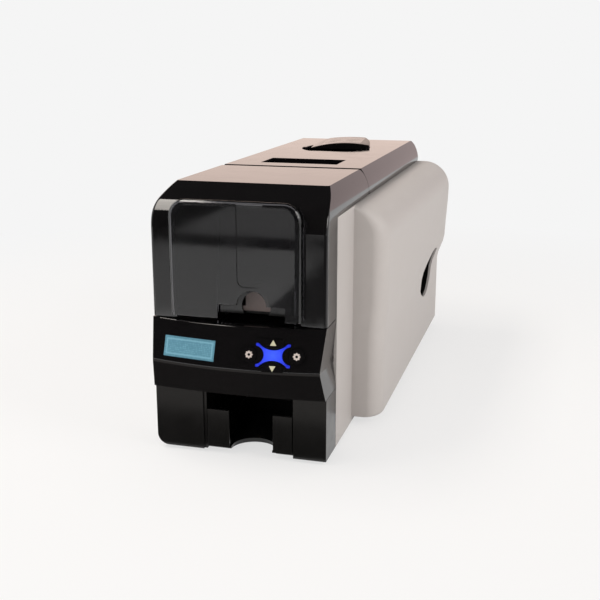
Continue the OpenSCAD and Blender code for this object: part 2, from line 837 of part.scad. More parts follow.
// Top cover with its finger recess and the seat of the grip
module cover_side() {
  polygon(concat([[cover_d, z_bevel + seam / 2], [cover_d, z_top]],
    arc(cover_pin_d, pin_z, edge_r, 90, 0, 8),
    [[body_l, pin_z - tail_drop], [cover_pin_d + tail_in, z_bevel + seam / 2]]));
}
module cover_inside() {
  polygon(concat([[cover_d + wall, z_bevel - 2], [cover_d + wall, z_top - wall]],
    arc(cover_pin_d, pin_z, edge_r - wall, 90, 0, 8),
    [[body_l + 1, pin_z], [body_l + 1, z_bevel - 2]]));
}
module grip_plan(i) translate([0, eye_d]) polygon([for (a = [0:7.5:359])
  [(eye_hw - i) * cos(a), ((a < 180 ? eye_back : eye_front) - i) * sin(a)]]);
latch_ear = latch_hw + 1;
module top_cover() color(gloss_black) at_front() {
  tub = 2;
  hw = recess_w / 2;
  difference() {
    union() {
      difference() {
        intersection() {
          along_x(-half_w, body_w) cover_side();
          along_y(cover_d, body_l - cover_d) top_section(0, z_bevel - 1);
        }
        intersection() {
          along_x(-half_w, body_w) cover_inside();
          along_y(cover_d - 1, body_l - cover_d + 2) top_section(wall, z_bevel - 3);
        }
      }
      knuckle(-hinge_x, cover_pin_d);
      knuckle(hinge_x - knuckle_w, cover_pin_d);
      box(-hw - tub, hw + tub, recess_d + 0.8, recess_d + recess_l + tub, z_top - recess_h - tub,
        z_top - 1);
      for (s = [-1, 1]) box(s > 0 ? latch_ear : -latch_ear - 3, s > 0 ? latch_ear + 3 : -latch_ear,
        latch_d - 4, latch_d + 3, latch_z - 4, z_top - 1);
    }
    box(-hw, hw, recess_d + 0.8 - 1, recess_d + recess_l, z_top - recess_h, z_top + 1);
    box(-latch_hw - 0.5, latch_hw + 0.5, latch_d - 3, recess_d + 0.8, z_top - recess_h - tub - 1,
      z_top - wall);
    box(-latch_hw - 0.5, latch_hw + 0.5, latch_d, recess_d + 5, z_top - recess_h - tub - 1,
      z_top - recess_h + 0.1);
    rod(-latch_ear - 4, latch_ear + 4, latch_d, latch_z, 1.5 + run_gap);
    upward(z_top - wall - 1, wall + 2) grip_plan(0);
  }
}
// Latch lever: paddle at the front of the recess, bar and two hooks
module cover_latch() color(matt_black) at_front() {
  bar_h = 5;
  z_bar = z_top - recess_h - 3 - bar_h;
  hook_l = left_face - frame_t - 6.5;
  hook_r = right_face + frame_t + 2;
  box(-latch_hw, latch_hw, latch_d - latch_t / 2, latch_d + latch_t / 2, z_bar, z_top - wall - 1);
  rod(-latch_ear - 2.5, latch_ear + 2.5, latch_d, latch_z, 1.5);
  box(hook_l, hook_r + 4, latch_d - latch_t / 2, latch_d + latch_t / 2, z_bar,
    z_bar + bar_h);
  for (x = [hook_l, hook_r]) {
    box(x, x + 4, latch_d - latch_t / 2, latch_d + latch_t / 2, frame_top - 4, z_bar + 1);
    box(x, x + 4, latch_d - 5, latch_d, frame_top - 4, frame_top - 1.5);
  }
}

// Eye-shaped grip: a hollow in front, a visor over its rear half
module top_grip() color(gloss_black) at_front() {
  cup_h = 13;
  scoop_z = z_top - 10.5;
  scoop_r = 86;
  slot_d = eye_d + 6;
  ridge_d = eye_d + 44;
  arch_x = 12;
  arch_r = 147;
  difference() {
    upward(z_top - cup_h, cup_h) grip_plan(0.3);
    translate([-100, eye_d + 3, scoop_z + scoop_r]) rotate([0, 90, 0])
      cylinder(h = 200, r = scoop_r, $fn = 160);
    box(-100, 100, slot_d - 6, body_l, scoop_z, z_top + 1);
  }
  intersection() {
    upward(z_top - 2, 3 + visor_h) grip_plan(0.3);
    translate([arch_x, ridge_d, z_top + visor_h - arch_r]) rotate([90 + 5.5, 0, 0])
      cylinder(h = 160, r = arch_r, center = true, $fn = 160);
    translate([-100, ridge_d, z_top + visor_h]) rotate([-20, 0, 0])
      translate([0, -100, -40]) cube([200, 200, 40]);
    box(-100, 100, slot_d, body_l, z_top - 2, z_top + 2 * visor_h);
  }
  difference() {
    upward(z_top - cup_h, cup_h) grip_plan(0.3);
    upward(z_top - cup_h - 1, cup_h + 2) grip_plan(2.3);
    box(-100, 100, 0, eye_d, z_top - cup_h - 1, z_top + 1);
  }
}

// Card hopper and the weight on the cards
module card_hopper() color(matt_black) at_front() {
  x0 = card_x - hop_out;
  x1 = card_x + hop_out;
  d1 = hop_d + hop_l;
  difference() {
    union() {
      box(x0, x1, hop_d, d1, card_z - hop_t, hop_top);
      for (d = [hop_d + 8, d1 - 16]) {
        box(left_face, x0 + 1, d, d + 8, card_z + 8, card_z + 20);
        box(x1 - 1, right_face, d, d + 8, card_z + 8, card_z + 20);
      }
    }
    box(x0 + hop_t, x1 - hop_t, hop_d + hop_t, d1 - hop_t, card_z, hop_top + 1);
    box(x0 + hop_t + 2, x1 - hop_t - 2, pick_d - roller_r - 1, pick_d + roller_r + 1,
      card_z - hop_t - 1, card_z + 1);
    box(x0 + hop_t + 1, x1 - hop_t - 1, d1 - hop_t - 1, d1 + 1, card_z, card_z + 2);
    along_y(hop_d - 1, hop_t + 2) {
      translate([card_x + 1, card_z + 5]) circle(r = 12.5);
      translate([card_x + 1, foot_h + 157]) circle(r = 12);
      translate([card_x - 11, foot_h + 157]) square([24, hop_top - foot_h - 157 - 14]);
      translate([card_x + 1, hop_top - 14]) circle(r = 12);
    }
  }
}
module card_weight() color(natural) at_front() {
  g = 0.8;
  z0 = card_z + 0.3;
  box(card_x - hop_in + g, card_x + hop_in - g, hop_d + hop_t + g, hop_d + hop_l - hop_t - g, z0,
    z0 + 4);
  box(card_x - 9, card_x + 11, hop_d + hop_t + g, hop_d + hop_t + 4, z0, z0 + 16);
  box(card_x - 9, card_x + 11, hop_d + hop_t + g, hop_d + 30, z0, z0 + 7);
}

// Frame plates and what joins them
module frame_outline() {
  difference() {
    polygon([[frame_front, z_seam + 3], [strip_d + 3, z_seam + 3], [strip_d + 3, axle_z - 22],
      [frame_step_d, axle_z - 22], [frame_step_d, frame_low_z],
      [frame_end, frame_low_z], [frame_end, frame_top], [bridge_d - 2, frame_top],
      [frame_step_d, card_z + 30], [frame_front, card_z + 30]]);
    for (d = [pick_d, feed_d, platen_d]) translate([d, axle_z]) circle(r = bush_r + 0.05);
    translate([feed_d, exit_z]) circle(r = bush_r + 0.05);
  }
}
foot_w = 10;
module frame_foot(x0, x1) {
  for (d = [frame_step_d + 6, frame_end - 26]) box(x0, x1, d, d + 20, floor_z, frame_low_z + 0.5);
}
module left_frame() color(steel) at_front() {
  along_x(left_face - frame_t, frame_t) frame_outline();
  frame_foot(left_face - foot_w, left_face);
}
module right_frame() color(steel) at_front() {
  difference() {
    along_x(right_face, frame_t) frame_outline();
    rod(right_face - 1, right_face + frame_t + 1, platen_d, motor_z, 5.1);
  }
  frame_foot(right_face, right_face + foot_w);
}
module frame_spacers() color(steel) at_front() {
  for (p = [[frame_end - 12, frame_low_z + 12], [frame_end - 12, frame_top - 12],
    [frame_step_d + 8, frame_low_z + 10], [bridge_d + 8, frame_top - 8], [takeup_d + 32, 150]])
    rod(left_face, right_face, p[0], p[1], 3);
}
// Upper and lower card guide, with windows for the rollers
module guide_plate(d0, z, windows) {
  difference() {
    box(left_face, right_face, d0, platen_d + 60, z - 3, z - 1);
    for (d = windows) box(left_face + 4, right_face - 4, d - roller_r - 1.5, d + roller_r + 1.5,
      z - 4, z);
  }
}
module card_guide() color(natural) at_front() {
  guide_plate(hop_d + hop_l + 1, card_z, [feed_d, platen_d]);
  guide_plate(bay_l + 4, exit_z + roller_r, [feed_d]);
}

// Rollers, shafts and gears
module roller(d, z, tyre_w) {
  tube(card_x - tyre_w / 2, card_x + tyre_w / 2, d, z, roller_r, shaft_r + 0.01);
}
module shaft(d, z) rod(shaft_left, shaft_right, d, z, shaft_r);

// Involute tooth: half angle of the tooth at radius r
function inv(a) = tan(a) - a * PI / 180;
function tooth_half(n, r) =
  let (pr = gear_m * n / 2, rb = pr * cos(20))
  90 / n - backlash / 2 / pr * 180 / PI + (inv(20) - inv(acos(min(1, rb / r)))) * 180 / PI;
function polar(r, a) = [r * cos(a), r * sin(a)];
module gear_outline(n) {
  pr = gear_m * n / 2;
  rb = pr * cos(20);
  ri = pr - 1.25 * gear_m;
  radii = [max(ri, rb), pr, pr + 0.9 * gear_m];
  polygon([for (k = [0:n - 1]) let (a = k * 360 / n) each concat(
    [polar(ri, a - tooth_half(n, radii[0]))],
    [for (r = radii) polar(r, a - tooth_half(n, r))],
    [for (j = [2, 1, 0]) polar(radii[j], a + tooth_half(n, radii[j]))],
    [polar(ri, a + tooth_half(n, radii[0]))])]);
}
// A gear on the x axis line through d and z, turned by a from a tooth that points to the rear
module gear(n, d, z, a, bore) {
  difference() {
    union() {
      translate([gear_x, d, z]) rotate([90, 0, 90]) linear_extrude(gear_w) rotate(a) gear_outline(n);
      rod(gear_x - 0.8, gear_x, d, z, bore + 3);
    }
    rod(gear_x - 2, gear_x + gear_w + 1, d, z, bore);
    for (k = [0:4]) if (n == gear_teeth) translate([gear_x + gear_w - 2, d, z])
      rotate([90, 0, 90]) rotate(k * 72) translate([pitch_r * 0.55, 0]) cylinder(h = 3, r = 3);
  }
}
module pick_shaft() color(steel) at_front() shaft(pick_d, axle_z);
module pick_roller() color(rubber_dark) at_front() roller(pick_d, axle_z, 40);
module pick_gear() color(natural) at_front() gear(gear_teeth, pick_d, axle_z, 0, shaft_r + 0.01);
module feed_shaft() color(steel) at_front() shaft(feed_d, axle_z);
module feed_roller() color(rubber_dark) at_front() roller(feed_d, axle_z, 52);
module feed_gear() color(natural) at_front() gear(gear_teeth, feed_d, axle_z, 0, shaft_r + 0.01);
module platen_shaft() color(steel) at_front() shaft(platen_d, axle_z);
module platen_roller() color(rubber_dark) at_front() roller(platen_d, axle_z, 56);
module platen_gear() color(natural) at_front() gear(gear_teeth, platen_d, axle_z, 0, shaft_r + 0.01);
module exit_shaft() color(steel) at_front() shaft(feed_d, exit_z);
module exit_roller() color(rubber_dark) at_front() roller(feed_d, exit_z, 40);
module exit_gear() color(natural) at_front() gear(gear_teeth, feed_d, exit_z, 0, shaft_r + 0.01);
module front_idler() color(natural) at_front()
  gear(gear_teeth, pick_d + 2 * pitch_r, axle_z, 180 + half_pitch, shaft_r + run_gap);
module middle_idler() color(natural) at_front()
  gear(gear_teeth, feed_d + 2 * pitch_r, axle_z, 180 + half_pitch, shaft_r + run_gap);
module exit_idler() color(natural) at_front()
  gear(gear_teeth, feed_d, axle_z - 2 * pitch_r, half_pitch, shaft_r + run_gap);
module idler_studs() color(steel) at_front() {
  for (p = [[pick_d + 2 * pitch_r, axle_z], [feed_d + 2 * pitch_r, axle_z],
    [feed_d, axle_z - 2 * pitch_r]]) {
    rod(right_face + frame_t, gear_x + gear_w + 1.5, p[0], p[1], shaft_r);
    rod(gear_x + gear_w + 0.5, gear_x + gear_w + 1.5, p[0], p[1], shaft_r + 1.5);
  }
}
module shaft_bushes() color([0.72, 0.55, 0.3]) at_front() {
  for (p = [[pick_d, axle_z], [feed_d, axle_z], [platen_d, axle_z], [feed_d, exit_z]])
    for (x = [left_face - frame_t - 0.6, right_face + 0.1])
      tube(x, x + frame_t + 0.5, p[0], p[1], bush_r, shaft_r + run_gap);
}
module drive_motor() color(steel) at_front() {
  difference() {
    union() {
      rod(right_face - 40, right_face, platen_d, motor_z, motor_r);
      rod(right_face - 1, right_face + frame_t + 0.5, platen_d, motor_z, 5);
    }
    rod(right_face - 12, right_face + frame_t + 1, platen_d, motor_z, 1.5 + run_gap);
  }
}
module motor_pinion() color(steel) at_front() {
  a = 90 + (180 - 90 * gear_teeth) / pinion_teeth;
  gear(pinion_teeth, platen_d, motor_z, a, 1.2);
  rod(right_face - 11, gear_x + gear_w, platen_d, motor_z, 1.5);
}

// Print head on its bracket, which hangs from the recess of the top cover
module printhead() color([0.55, 0.56, 0.58]) at_front() {
  d0 = platen_d - head_t / 2;
  d1 = platen_d + head_t / 2;
  x0 = card_x - head_w / 2;
  x1 = card_x + head_w / 2;
  seat = z_top - recess_h - 2;
  difference() {
    union() {
      box(x0 + 2, x1 - 2, d0 + 3, d1 - 3, head_z, head_z + 4);
      box(x0, x1, d0, d1, head_z + 3, head_z + 24);
      for (x = [x0 + 8, x1 - 14]) box(x, x + 6, platen_d - 6, platen_d + 6, head_z + 20, seat);
      box(x0 + 8, x1 - 8, platen_d - 6, platen_d + 6, seat - 3, seat);
    }
    for (k = [0:6]) box(x0 + 5 + k * 7, x0 + 8 + k * 7, d0 - 1, d0 + 6, head_z + 8, head_z + 25);
  }
}

// Ribbon cartridge with its two spools and the film between them
module ribbon_cartridge() color([0.82, 0.82, 0.8]) at_front() {
  x0 = left_face + cheek_gap;
  x1 = right_face - cheek_gap;
  top = spool_z + 20;
  low = spool_z - 20;
  difference() {
    union() {
      for (x = [x0, x1 - cheek_t]) along_x(x, cheek_t)
        polygon([[cart_front, low], [cart_back, low], [cart_back, top - 6], [cart_back - 6, top],
          [cart_front + 6, top], [cart_front, top - 6]]);
      box(x0, x1, cart_front, cart_front + 2, low + 8, top - 6);
      box(x0, x1, cart_back - 2, cart_back, low + 8, top - 6);
      box(x0, x1, takeup_d - 5, takeup_d + 7, top - 3, top);
    }
    for (d = [supply_d, takeup_d]) rod(x0 - 1, x1 + 1, d, spool_z, shaft_r + run_gap);
  }
}
module spool(d, r) {
  x0 = left_face + cheek_gap;
  x1 = right_face - cheek_gap;
  rod(x0 + 0.2, x1 - 0.2, d, spool_z, shaft_r);
  rod(x0 + cheek_t + 0.6, x1 - cheek_t - 0.6, d, spool_z, 6);
  rod(card_x - 26, card_x + 26, d, spool_z, r);
}
module supply_spool() color([0.15, 0.2, 0.5]) at_front() spool(supply_d, supply_r);
module takeup_spool() color([0.25, 0.2, 0.22]) at_front() spool(takeup_d, takeup_r);
// Where a line from p touches a circle from the side s
function touch(c, r, p, s) =
  let (v = c - p, l = norm(v), a = atan2(v[1], v[0]) + s * asin(r / l), t = sqrt(l * l - r * r))
  p + t * [cos(a), sin(a)];
// Half a film's thickness, square to the line from a to b, and at the corner of two such lines
function side_of(a, b) = let (v = (b - a) / norm(b - a)) [-v[1], v[0]] * film_t / 2;
function corner_of(p, q) = (p + q) / (1 + p * q / (norm(p) * norm(q)));
module ribbon_film() color([0.3, 0.25, 0.45]) at_front() along_x(card_x - 25, 50) {
  a = [platen_d - head_t / 2 - 1, film_z + film_t / 2];
  b = [platen_d + head_t / 2 + 1, film_z + film_t / 2];
  line = [touch([supply_d, spool_z], supply_r + 0.35, a, 1), a, b,
    touch([takeup_d, spool_z], takeup_r + 0.35, b, -1)];
  n = [for (i = [0:2]) side_of(line[i], line[i + 1])];
  off = [n[0], corner_of(n[0], n[1]), corner_of(n[1], n[2]), n[2]];
  polygon(concat([for (i = [0:3]) line[i] + off[i]], [for (i = [3:-1:0]) line[i] - off[i]]));
}

// Circuit board on pillars, beside the left frame
module main_board() color([0.1, 0.35, 0.2]) at_front() {
  x0 = left_face - frame_t - 14;
  d0 = body_l - 186;
  z0 = floor_z + 54;
  z1 = frame_top - 30.6;
  box(x0, x0 + 1.6, d0, d0 + 150, z0, z1);
  for (d = [d0 + 8, d0 + 142]) for (z = [z0 + 8, z0 + 42])
    rod(x0 + 1.6, left_face - frame_t, d, z, 2.5);
  box(x0 - 3, x0, d0 + 40, d0 + 66, z0 + 38, z0 + 64);
  box(x0 - 6, x0, d0 + 90, d0 + 130, z1 - 35, z1 - 15);
  box(x0 - 2.5, x0, d0 + 82, d0 + 98, z0 + 22, z0 + 38);
  box(x0 - 9, x0, d0 + 10, d0 + 28, z1 - 29, z1 - 17);
  for (d = [d0 + 110, d0 + 126]) rod(x0 - 12, x0, d, z0 + 30, 5);
}
module power_supply() color(steel) at_front() {
  x0 = -half_w + 8;
  x1 = left_face - 14;
  d1 = foot_rear - boss_r - 1;
  skin = 1.2;
  difference() {
    box(x0, x1, d1 - 94, d1, floor_z, floor_z + 40);
    box(x0 + skin, x1 - skin, d1 - 94 + skin, d1 - skin, floor_z + skin, floor_z + 40 - skin);
    for (k = [0:9]) box(x0 + 5, x1 - 5, d1 - 86 + k * 8, d1 - 82 + k * 8, floor_z + 30,
      floor_z + 42);
  }
}

// Mains inlet with the frame of the power switch
module power_inlet() color(matt_black) at_front() {
  difference() {
    union() {
      along_y(body_l - 26, 26) translate([inlet_x, inlet_z])
        square([inlet_w - 0.4, inlet_h - 0.4], center = true);
      along_y(body_l - 12, 12) translate([switch_x, inlet_z])
        square([switch_w + 2.6, switch_h + 2.6], center = true);
      box(inlet_x, switch_x, body_l - 12, body_l - wall - 0.3, inlet_z - 8, inlet_z + 8);
    }
    along_y(body_l - 18, 19) translate([inlet_x, inlet_z]) square([22, 15], center = true);
    along_y(body_l - 10, 11) translate([switch_x, inlet_z])
      square([switch_w, switch_h], center = true);
    rod(switch_x - switch_w, switch_x + switch_w, body_l - 5, inlet_z, 1 + run_gap);
  }
  for (x = [-6, 0, 6]) translate([inlet_x + x, body_l - 19, inlet_z + (x == 0 ? 3 : -2)])
    rotate([-90, 0, 0]) cylinder(h = 14, r = 1);
}
// Rocker of the power switch, tilted to its off side
module power_switch() color(gloss_black) at_front() {
  rod(switch_x - switch_w / 2 - 0.8, switch_x + switch_w / 2 + 0.8, body_l - 5, inlet_z, 1);
  translate([0, body_l - 5, inlet_z]) rotate([8, 0, 0]) translate([switch_x - switch_w / 2 + 0.4, 0, 0])
    rotate([90, 0, 90]) linear_extrude(switch_w - 0.8)
      polygon([[-2.5, -7], [2.6, -8.2], [3.6, -8.2], [2.4, 0], [3.6, 8.2], [2.6, 8.2], [-2.5, 7]]);
}

// Data sockets: a square one and a network one
module data_port() color([0.75, 0.76, 0.78]) at_front() {
  difference() {
    union() {
      along_y(body_l - 18, 18) translate([port_x, port_z]) square([usb_w, usb_h], center = true);
      along_y(body_l - 20, 20) translate([net_x, port_z]) square([net_w, net_h], center = true);
      box(port_x - 10, net_x + 10, body_l - 22, body_l - 4, port_z - 8.2, port_z - usb_h / 2 + 0.1);
    }
    along_y(body_l - 12, 13) translate([port_x, port_z]) square([usb_w - 2.5, usb_h - 2.5], center = true);
    along_y(body_l - 14, 15) translate([net_x, port_z]) square([net_w - 2.4, net_h - 3], center = true);
  }
  along_y(body_l - 12.5, 9) translate([port_x, port_z]) square([5.6, 3], center = true);
}

base_pan();
lower_front();
control_fascia();
left_side_panel();
right_side_panel();
rear_panel();
centre_bridge();
grip_cups();
front_door();
door_window();
door_hinge_pins();
top_cover();
top_grip();
cover_latch();
cover_hinge_pins();
display_module();
light_guide();
control_board();
up_button();
down_button();
left_button();
right_button();
output_tray();
card_hopper();
card_weight();
left_frame();
right_frame();
frame_spacers();
card_guide();
pick_shaft();
pick_roller();
pick_gear();
feed_shaft();
feed_roller();
feed_gear();
platen_shaft();
platen_roller();
platen_gear();
exit_shaft();
exit_roller();
exit_gear();
front_idler();
middle_idler();
exit_idler();
idler_studs();
shaft_bushes();
drive_motor();
motor_pinion();
printhead();
ribbon_cartridge();
supply_spool();
takeup_spool();
ribbon_film();
main_board();
power_supply();
power_inlet();
power_switch();
data_port();
feet();
casing_screws();
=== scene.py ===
"""Looks of a desk-top printer for plastic cards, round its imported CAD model.

In the helpers, x is to the right, d is the distance behind the casing's front plane and z is up,
all in millimetres. Every mesh ends in metres, in the frame of the CAD, with its object at the
origin.
"""

import math

import bpy
from mathutils import Matrix, Vector


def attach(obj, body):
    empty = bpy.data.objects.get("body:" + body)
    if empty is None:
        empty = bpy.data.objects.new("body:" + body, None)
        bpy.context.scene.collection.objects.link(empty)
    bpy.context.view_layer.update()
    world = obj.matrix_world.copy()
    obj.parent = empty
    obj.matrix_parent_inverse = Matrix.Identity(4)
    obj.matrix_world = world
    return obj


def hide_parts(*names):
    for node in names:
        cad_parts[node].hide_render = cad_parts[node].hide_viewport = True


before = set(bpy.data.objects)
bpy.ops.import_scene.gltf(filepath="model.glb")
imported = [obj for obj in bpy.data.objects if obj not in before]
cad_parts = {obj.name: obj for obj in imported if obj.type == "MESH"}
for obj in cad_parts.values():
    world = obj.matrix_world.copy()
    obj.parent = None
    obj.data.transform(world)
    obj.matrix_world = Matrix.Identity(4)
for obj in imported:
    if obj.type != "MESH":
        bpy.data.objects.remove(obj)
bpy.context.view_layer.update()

MM = 0.001
# Place of the front plane in the frame, and the heights and depths of the casing
FRONT_Y = -214
LOW_Z, SEAM_Z, RAIL_Z, TOP_Z = 3, 118, 202.6, 227
STRIP_D, DOOR_L, BODY_L = 33, 158, 448
HALF_W, WALL, SEAM = 75, 2.5, 0.8
# Rounded shoulders, which start at BEVEL_Z, and the rounding of the upright front edges
BEVEL_Z, BEVEL_R, EDGE_ROUND = 203, 38, 3
# Slope from the crease in the top down to the rounded front
CREASE_D, SLOPE, FRONT_R = 38.5, math.radians(25), 25
# Hinge pins: each lies EDGE_R from the rear end and from the top
EDGE_R, PIN_Z = 8, 219
KNUCKLE_W, KNUCKLES_X = 7, (-52, 45)
# Window in the door, its opening, and the card slot and sight pocket in it
WINDOW_HW, WINDOW_OUT, WINDOW_TOP, WINDOW_FALL = 56, 10, 219.5, math.radians(12)
OPENING_HW, OPENING_TOP = 53.5, 211
CARD_X, SLOT_TOP, THUMB_R = 11, 135, 12.5
SIGHT_X, SIGHT_HW, SIGHT_LOW = 14, 11, 150
# Finger recess in the cover, with the latch paddle at its front
RECESS_HW, RECESS_FRONT, RECESS_BACK, RECESS_H, TUB_WALL = 38, 182, 222, 14, 2
LATCH_HW, LATCH_D, LATCH_Z, EAR_W = 34, 180, 220, 3


def at(x, d, z):
    return Vector((x * MM, (FRONT_Y + d) * MM, z * MM))


# ---- Making pieces --------------------------------------------------------------------


def only(obj):
    """Leaves edit mode, and makes obj the one selected object"""
    if bpy.context.object and bpy.context.object.mode != "OBJECT":
        bpy.ops.object.mode_set(mode="OBJECT")
    bpy.ops.object.select_all(action="DESELECT")
    obj.select_set(True)
    bpy.context.view_layer.objects.active = obj


def deselect():
    if bpy.context.object and bpy.context.object.mode != "OBJECT":
        bpy.ops.object.mode_set(mode="OBJECT")
    bpy.ops.object.select_all(action="DESELECT")


def named(name):
    """Names the new object, and puts its place and size into its mesh"""
    obj = bpy.context.object
    obj.name = name
    obj.data.name = name
    bpy.ops.object.transform_apply(location=True, rotation=True, scale=True)
    return obj


def block(name, x, d, z):
    deselect()
    low, high = at(x[0], d[0], z[0]), at(x[1], d[1], z[1])
    bpy.ops.mesh.primitive_cube_add(size=1, location=(low + high) / 2, scale=high - low)
    return named(name)


def rod(name, x, d, z, r, points=48):
    """A cylinder along x"""
    deselect()
    bpy.ops.mesh.primitive_cylinder_add(
        vertices=points,
        radius=r * MM,
        depth=(x[1] - x[0]) * MM,
        location=at((x[0] + x[1]) / 2, d, z),
        rotation=(0, math.pi / 2, 0),
    )
    return named(name)


def pin(name, place, z, r, points=48):
    """A cylinder along the z axis of the frame called place"""
    deselect()
    bpy.ops.mesh.primitive_cylinder_add(vertices=points, radius=r * MM, depth=(z[1] - z[0]) * MM)
    bpy.context.object.matrix_world = place @ Matrix.Translation((0, 0, (z[0] + z[1]) / 2 * MM))
    return named(name)


def tile(name, place, x, y, z):
    """A box in the frame called place"""
    deselect()
    bpy.ops.mesh.primitive_cube_add(size=1)
    middle = Vector(((x[0] + x[1]) / 2, (y[0] + y[1]) / 2, (z[0] + z[1]) / 2)) * MM
    size = Matrix.Diagonal(((x[1] - x[0]) * MM, (y[1] - y[0]) * MM, (z[1] - z[0]) * MM, 1))
    bpy.context.object.matrix_world = place @ Matrix.Translation(middle) @ size
    return named(name)


def copy_of(obj, name):
    only(obj)
    bpy.ops.object.duplicate()
    made = bpy.context.object
    made.name = name
    made.data.name = name
    return made


def select_in(obj, kind, test):
    """Enters edit mode with the vertices, edges or faces of obj that pass the test"""
    only(obj)
    mesh = obj.data
    for parts in (mesh.vertices, mesh.edges, mesh.polygons):
        parts.foreach_set("select", [False] * len(parts))
    if kind == "VERT":
        for vert in mesh.vertices:
            vert.select = test(vert.co)
    elif kind == "FACE":
        for face in mesh.polygons:
            face.select = test(face.center, face.normal)
    else:
        sides = {}
        for face in mesh.polygons:
            for key in face.edge_keys:
                sides.setdefault(key, []).append(face.normal.copy())
        for edge in mesh.edges:
            a, b = (mesh.vertices[i].co for i in edge.vertices)
            edge.select = test(a, b, sides.get(tuple(sorted(edge.vertices)), []))
    bpy.context.tool_settings.mesh_select_mode = (kind == "VERT", kind == "EDGE", kind == "FACE")
    bpy.ops.object.mode_set(mode="EDIT")


def leave():
    bpy.ops.object.mode_set(mode="OBJECT")


def bevel(obj, test, width, segments):
    select_in(obj, "EDGE", test)
    bpy.ops.mesh.bevel(offset=width * MM, segments=segments, profile=0.5, affect="EDGES")
    leave()


def slice_off(obj, point, normal):
    """Cuts away what lies beyond the plane, and closes the cut"""
    select_in(obj, "VERT", lambda co: True)
    bpy.ops.mesh.bisect(plane_co=point, plane_no=normal, use_fill=True, clear_outer=True)
    leave()


def combine(obj, other, operation):
    """Adds, cuts or keeps what obj shares with the other solid, which is used up"""
    only(obj)
    made = obj.modifiers.new("combine", "BOOLEAN")
    made.operation = operation
    made.object = other
    made.solver = "EXACT"
    bpy.ops.object.modifier_apply(modifier=made.name)
    bpy.data.objects.remove(other)
    return obj


def carve(obj, *cutters):
    for cutter in cutters:
        combine(obj, cutter, "DIFFERENCE")
    return obj


def fuse(obj, *others):
    for other in others:
        combine(obj, other, "UNION")
    return obj


def soften(obj, width, angle=30):
    """Rounds every sharp edge a little, as a mould does, and shades the rest smooth"""
    only(obj)
    bpy.ops.object.mode_set(mode="EDIT")
    bpy.ops.mesh.select_all(action="SELECT")
    bpy.ops.mesh.remove_doubles(threshold=0.01 * MM)
    bpy.ops.mesh.dissolve_limited(angle_limit=math.radians(0.3))
    leave()
    made = obj.modifiers.new("edges", "BEVEL")
    made.width = width * MM
    made.segments = 2
    made.limit_method = "ANGLE"
    made.angle_limit = math.radians(angle)
    made.use_clamp_overlap = True
    bpy.ops.object.modifier_apply(modifier=made.name)
    return smooth(obj, angle)


def smooth(obj, angle=30):
    only(obj)
    bpy.ops.object.shade_smooth_by_angle(angle=math.radians(angle))
    made = obj.modifiers.new("normals", "WEIGHTED_NORMAL")
    made.keep_sharp = True
    bpy.ops.object.modifier_apply(modifier=made.name)
    return obj


def joined(name, *pieces):
    only(pieces[0])
    for piece in pieces:
        piece.select_set(True)
    bpy.ops.object.join()
    pieces[0].name = name
    pieces[0].data.name = name
    return pieces[0]


def dress(obj, material):
    obj.data.materials.clear()
    obj.data.materials.append(material)
    return obj


def stand_for(obj, node, body):
    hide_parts(node)
    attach(obj, body)
    return obj


def refined(node, name, edge, body, material):
    """A copy of a CAD node with the small edge radii that its mould or press leaves"""
    made = copy_of(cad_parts[node], name)
    made.parent = None
    for key in list(made.keys()):
        del made[key]
    soften(made, edge)
    dress(made, material)
    return stand_for(made, node, body)


# ---- Materials ------------------------------------------------------------------------


def linear(hex_colour):
    """An sRGB hex colour as the linear colour that Blender's sockets hold"""
    values = [int(hex_colour[i : i + 2], 16) / 255 for i in (1, 3, 5)]
    return tuple(v / 12.92 if v <= 0.04045 else ((v + 0.055) / 1.055) ** 2.4 for v in values) + (1,)


def node(tree, kind, values=None, links=None, **settings):
    """Adds a node with its settings, its socket values and its links"""
    made = tree.nodes.new("ShaderNode" + kind)
    for name, value in settings.items():
        setattr(made, name, value)
    for name, value in (values or {}).items():
        made.inputs[name].default_value = value
    for name, source in (links or {}).items():
        tree.links.new(source, made.inputs[name])
    return made


def new_tree(name):
    material = bpy.data.materials.new(name)
    material.use_nodes = True
    material.node_tree.nodes.clear()
    return material, material.node_tree


DRIFT_SIZE = 18


def moulded(name, colours, rough, ior, grain, depth, extra=None):
    """A moulded plastic: two shades that drift over the part, and a grain from the mould.

    grain is the size of the grain in mm, and depth its depth in mm."""
    material, tree = new_tree(name)
    place = node(tree, "TexCoord").outputs["Object"]
    drift = node(tree, "TexNoise", {"Scale": 1000 / DRIFT_SIZE, "Detail": 4}, {"Vector": place})
    shade = node(
        tree, "Mix", {"A": linear(colours[0]), "B": linear(colours[1])}, {}, data_type="RGBA"
    )
    tree.links.new(drift.outputs["Fac"], shade.inputs["Factor"])
    gloss = node(
        tree,
        "MapRange",
        {"From Min": 0.3, "From Max": 0.7, "To Min": rough[0], "To Max": rough[1]},
        {"Value": drift.outputs["Fac"]},
    )
    pits = node(tree, "TexNoise", {"Scale": 1000 / grain, "Detail": 3}, {"Vector": place})
    bump = node(
        tree, "Bump", {"Strength": 1, "Distance": depth * MM}, {"Height": pits.outputs["Fac"]}
    )
    surface = node(
        tree,
        "BsdfPrincipled",
        {"IOR": ior, **(extra or {})},
        {
            "Base Color": shade.outputs["Result"],
            "Roughness": gloss.outputs["Result"],
            "Normal": bump.outputs["Normal"],
        },
    )
    node(tree, "OutputMaterial", {}, {"Surface": surface.outputs["BSDF"]})
    return material


# Polished moulded ABS: near black, mirror-like, with a faint orange peel
gloss_abs = moulded("gloss_black_abs", ("#0a090a", "#0e0d0e"), (0.05, 0.12), 1.54, 2.5, 0.0012)
# Moulded ABS from a lightly etched tool: a little duller than the polished parts
satin_abs = moulded("satin_black_abs", ("#0a0a0a", "#101010"), (0.16, 0.26), 1.54, 0.9, 0.004)
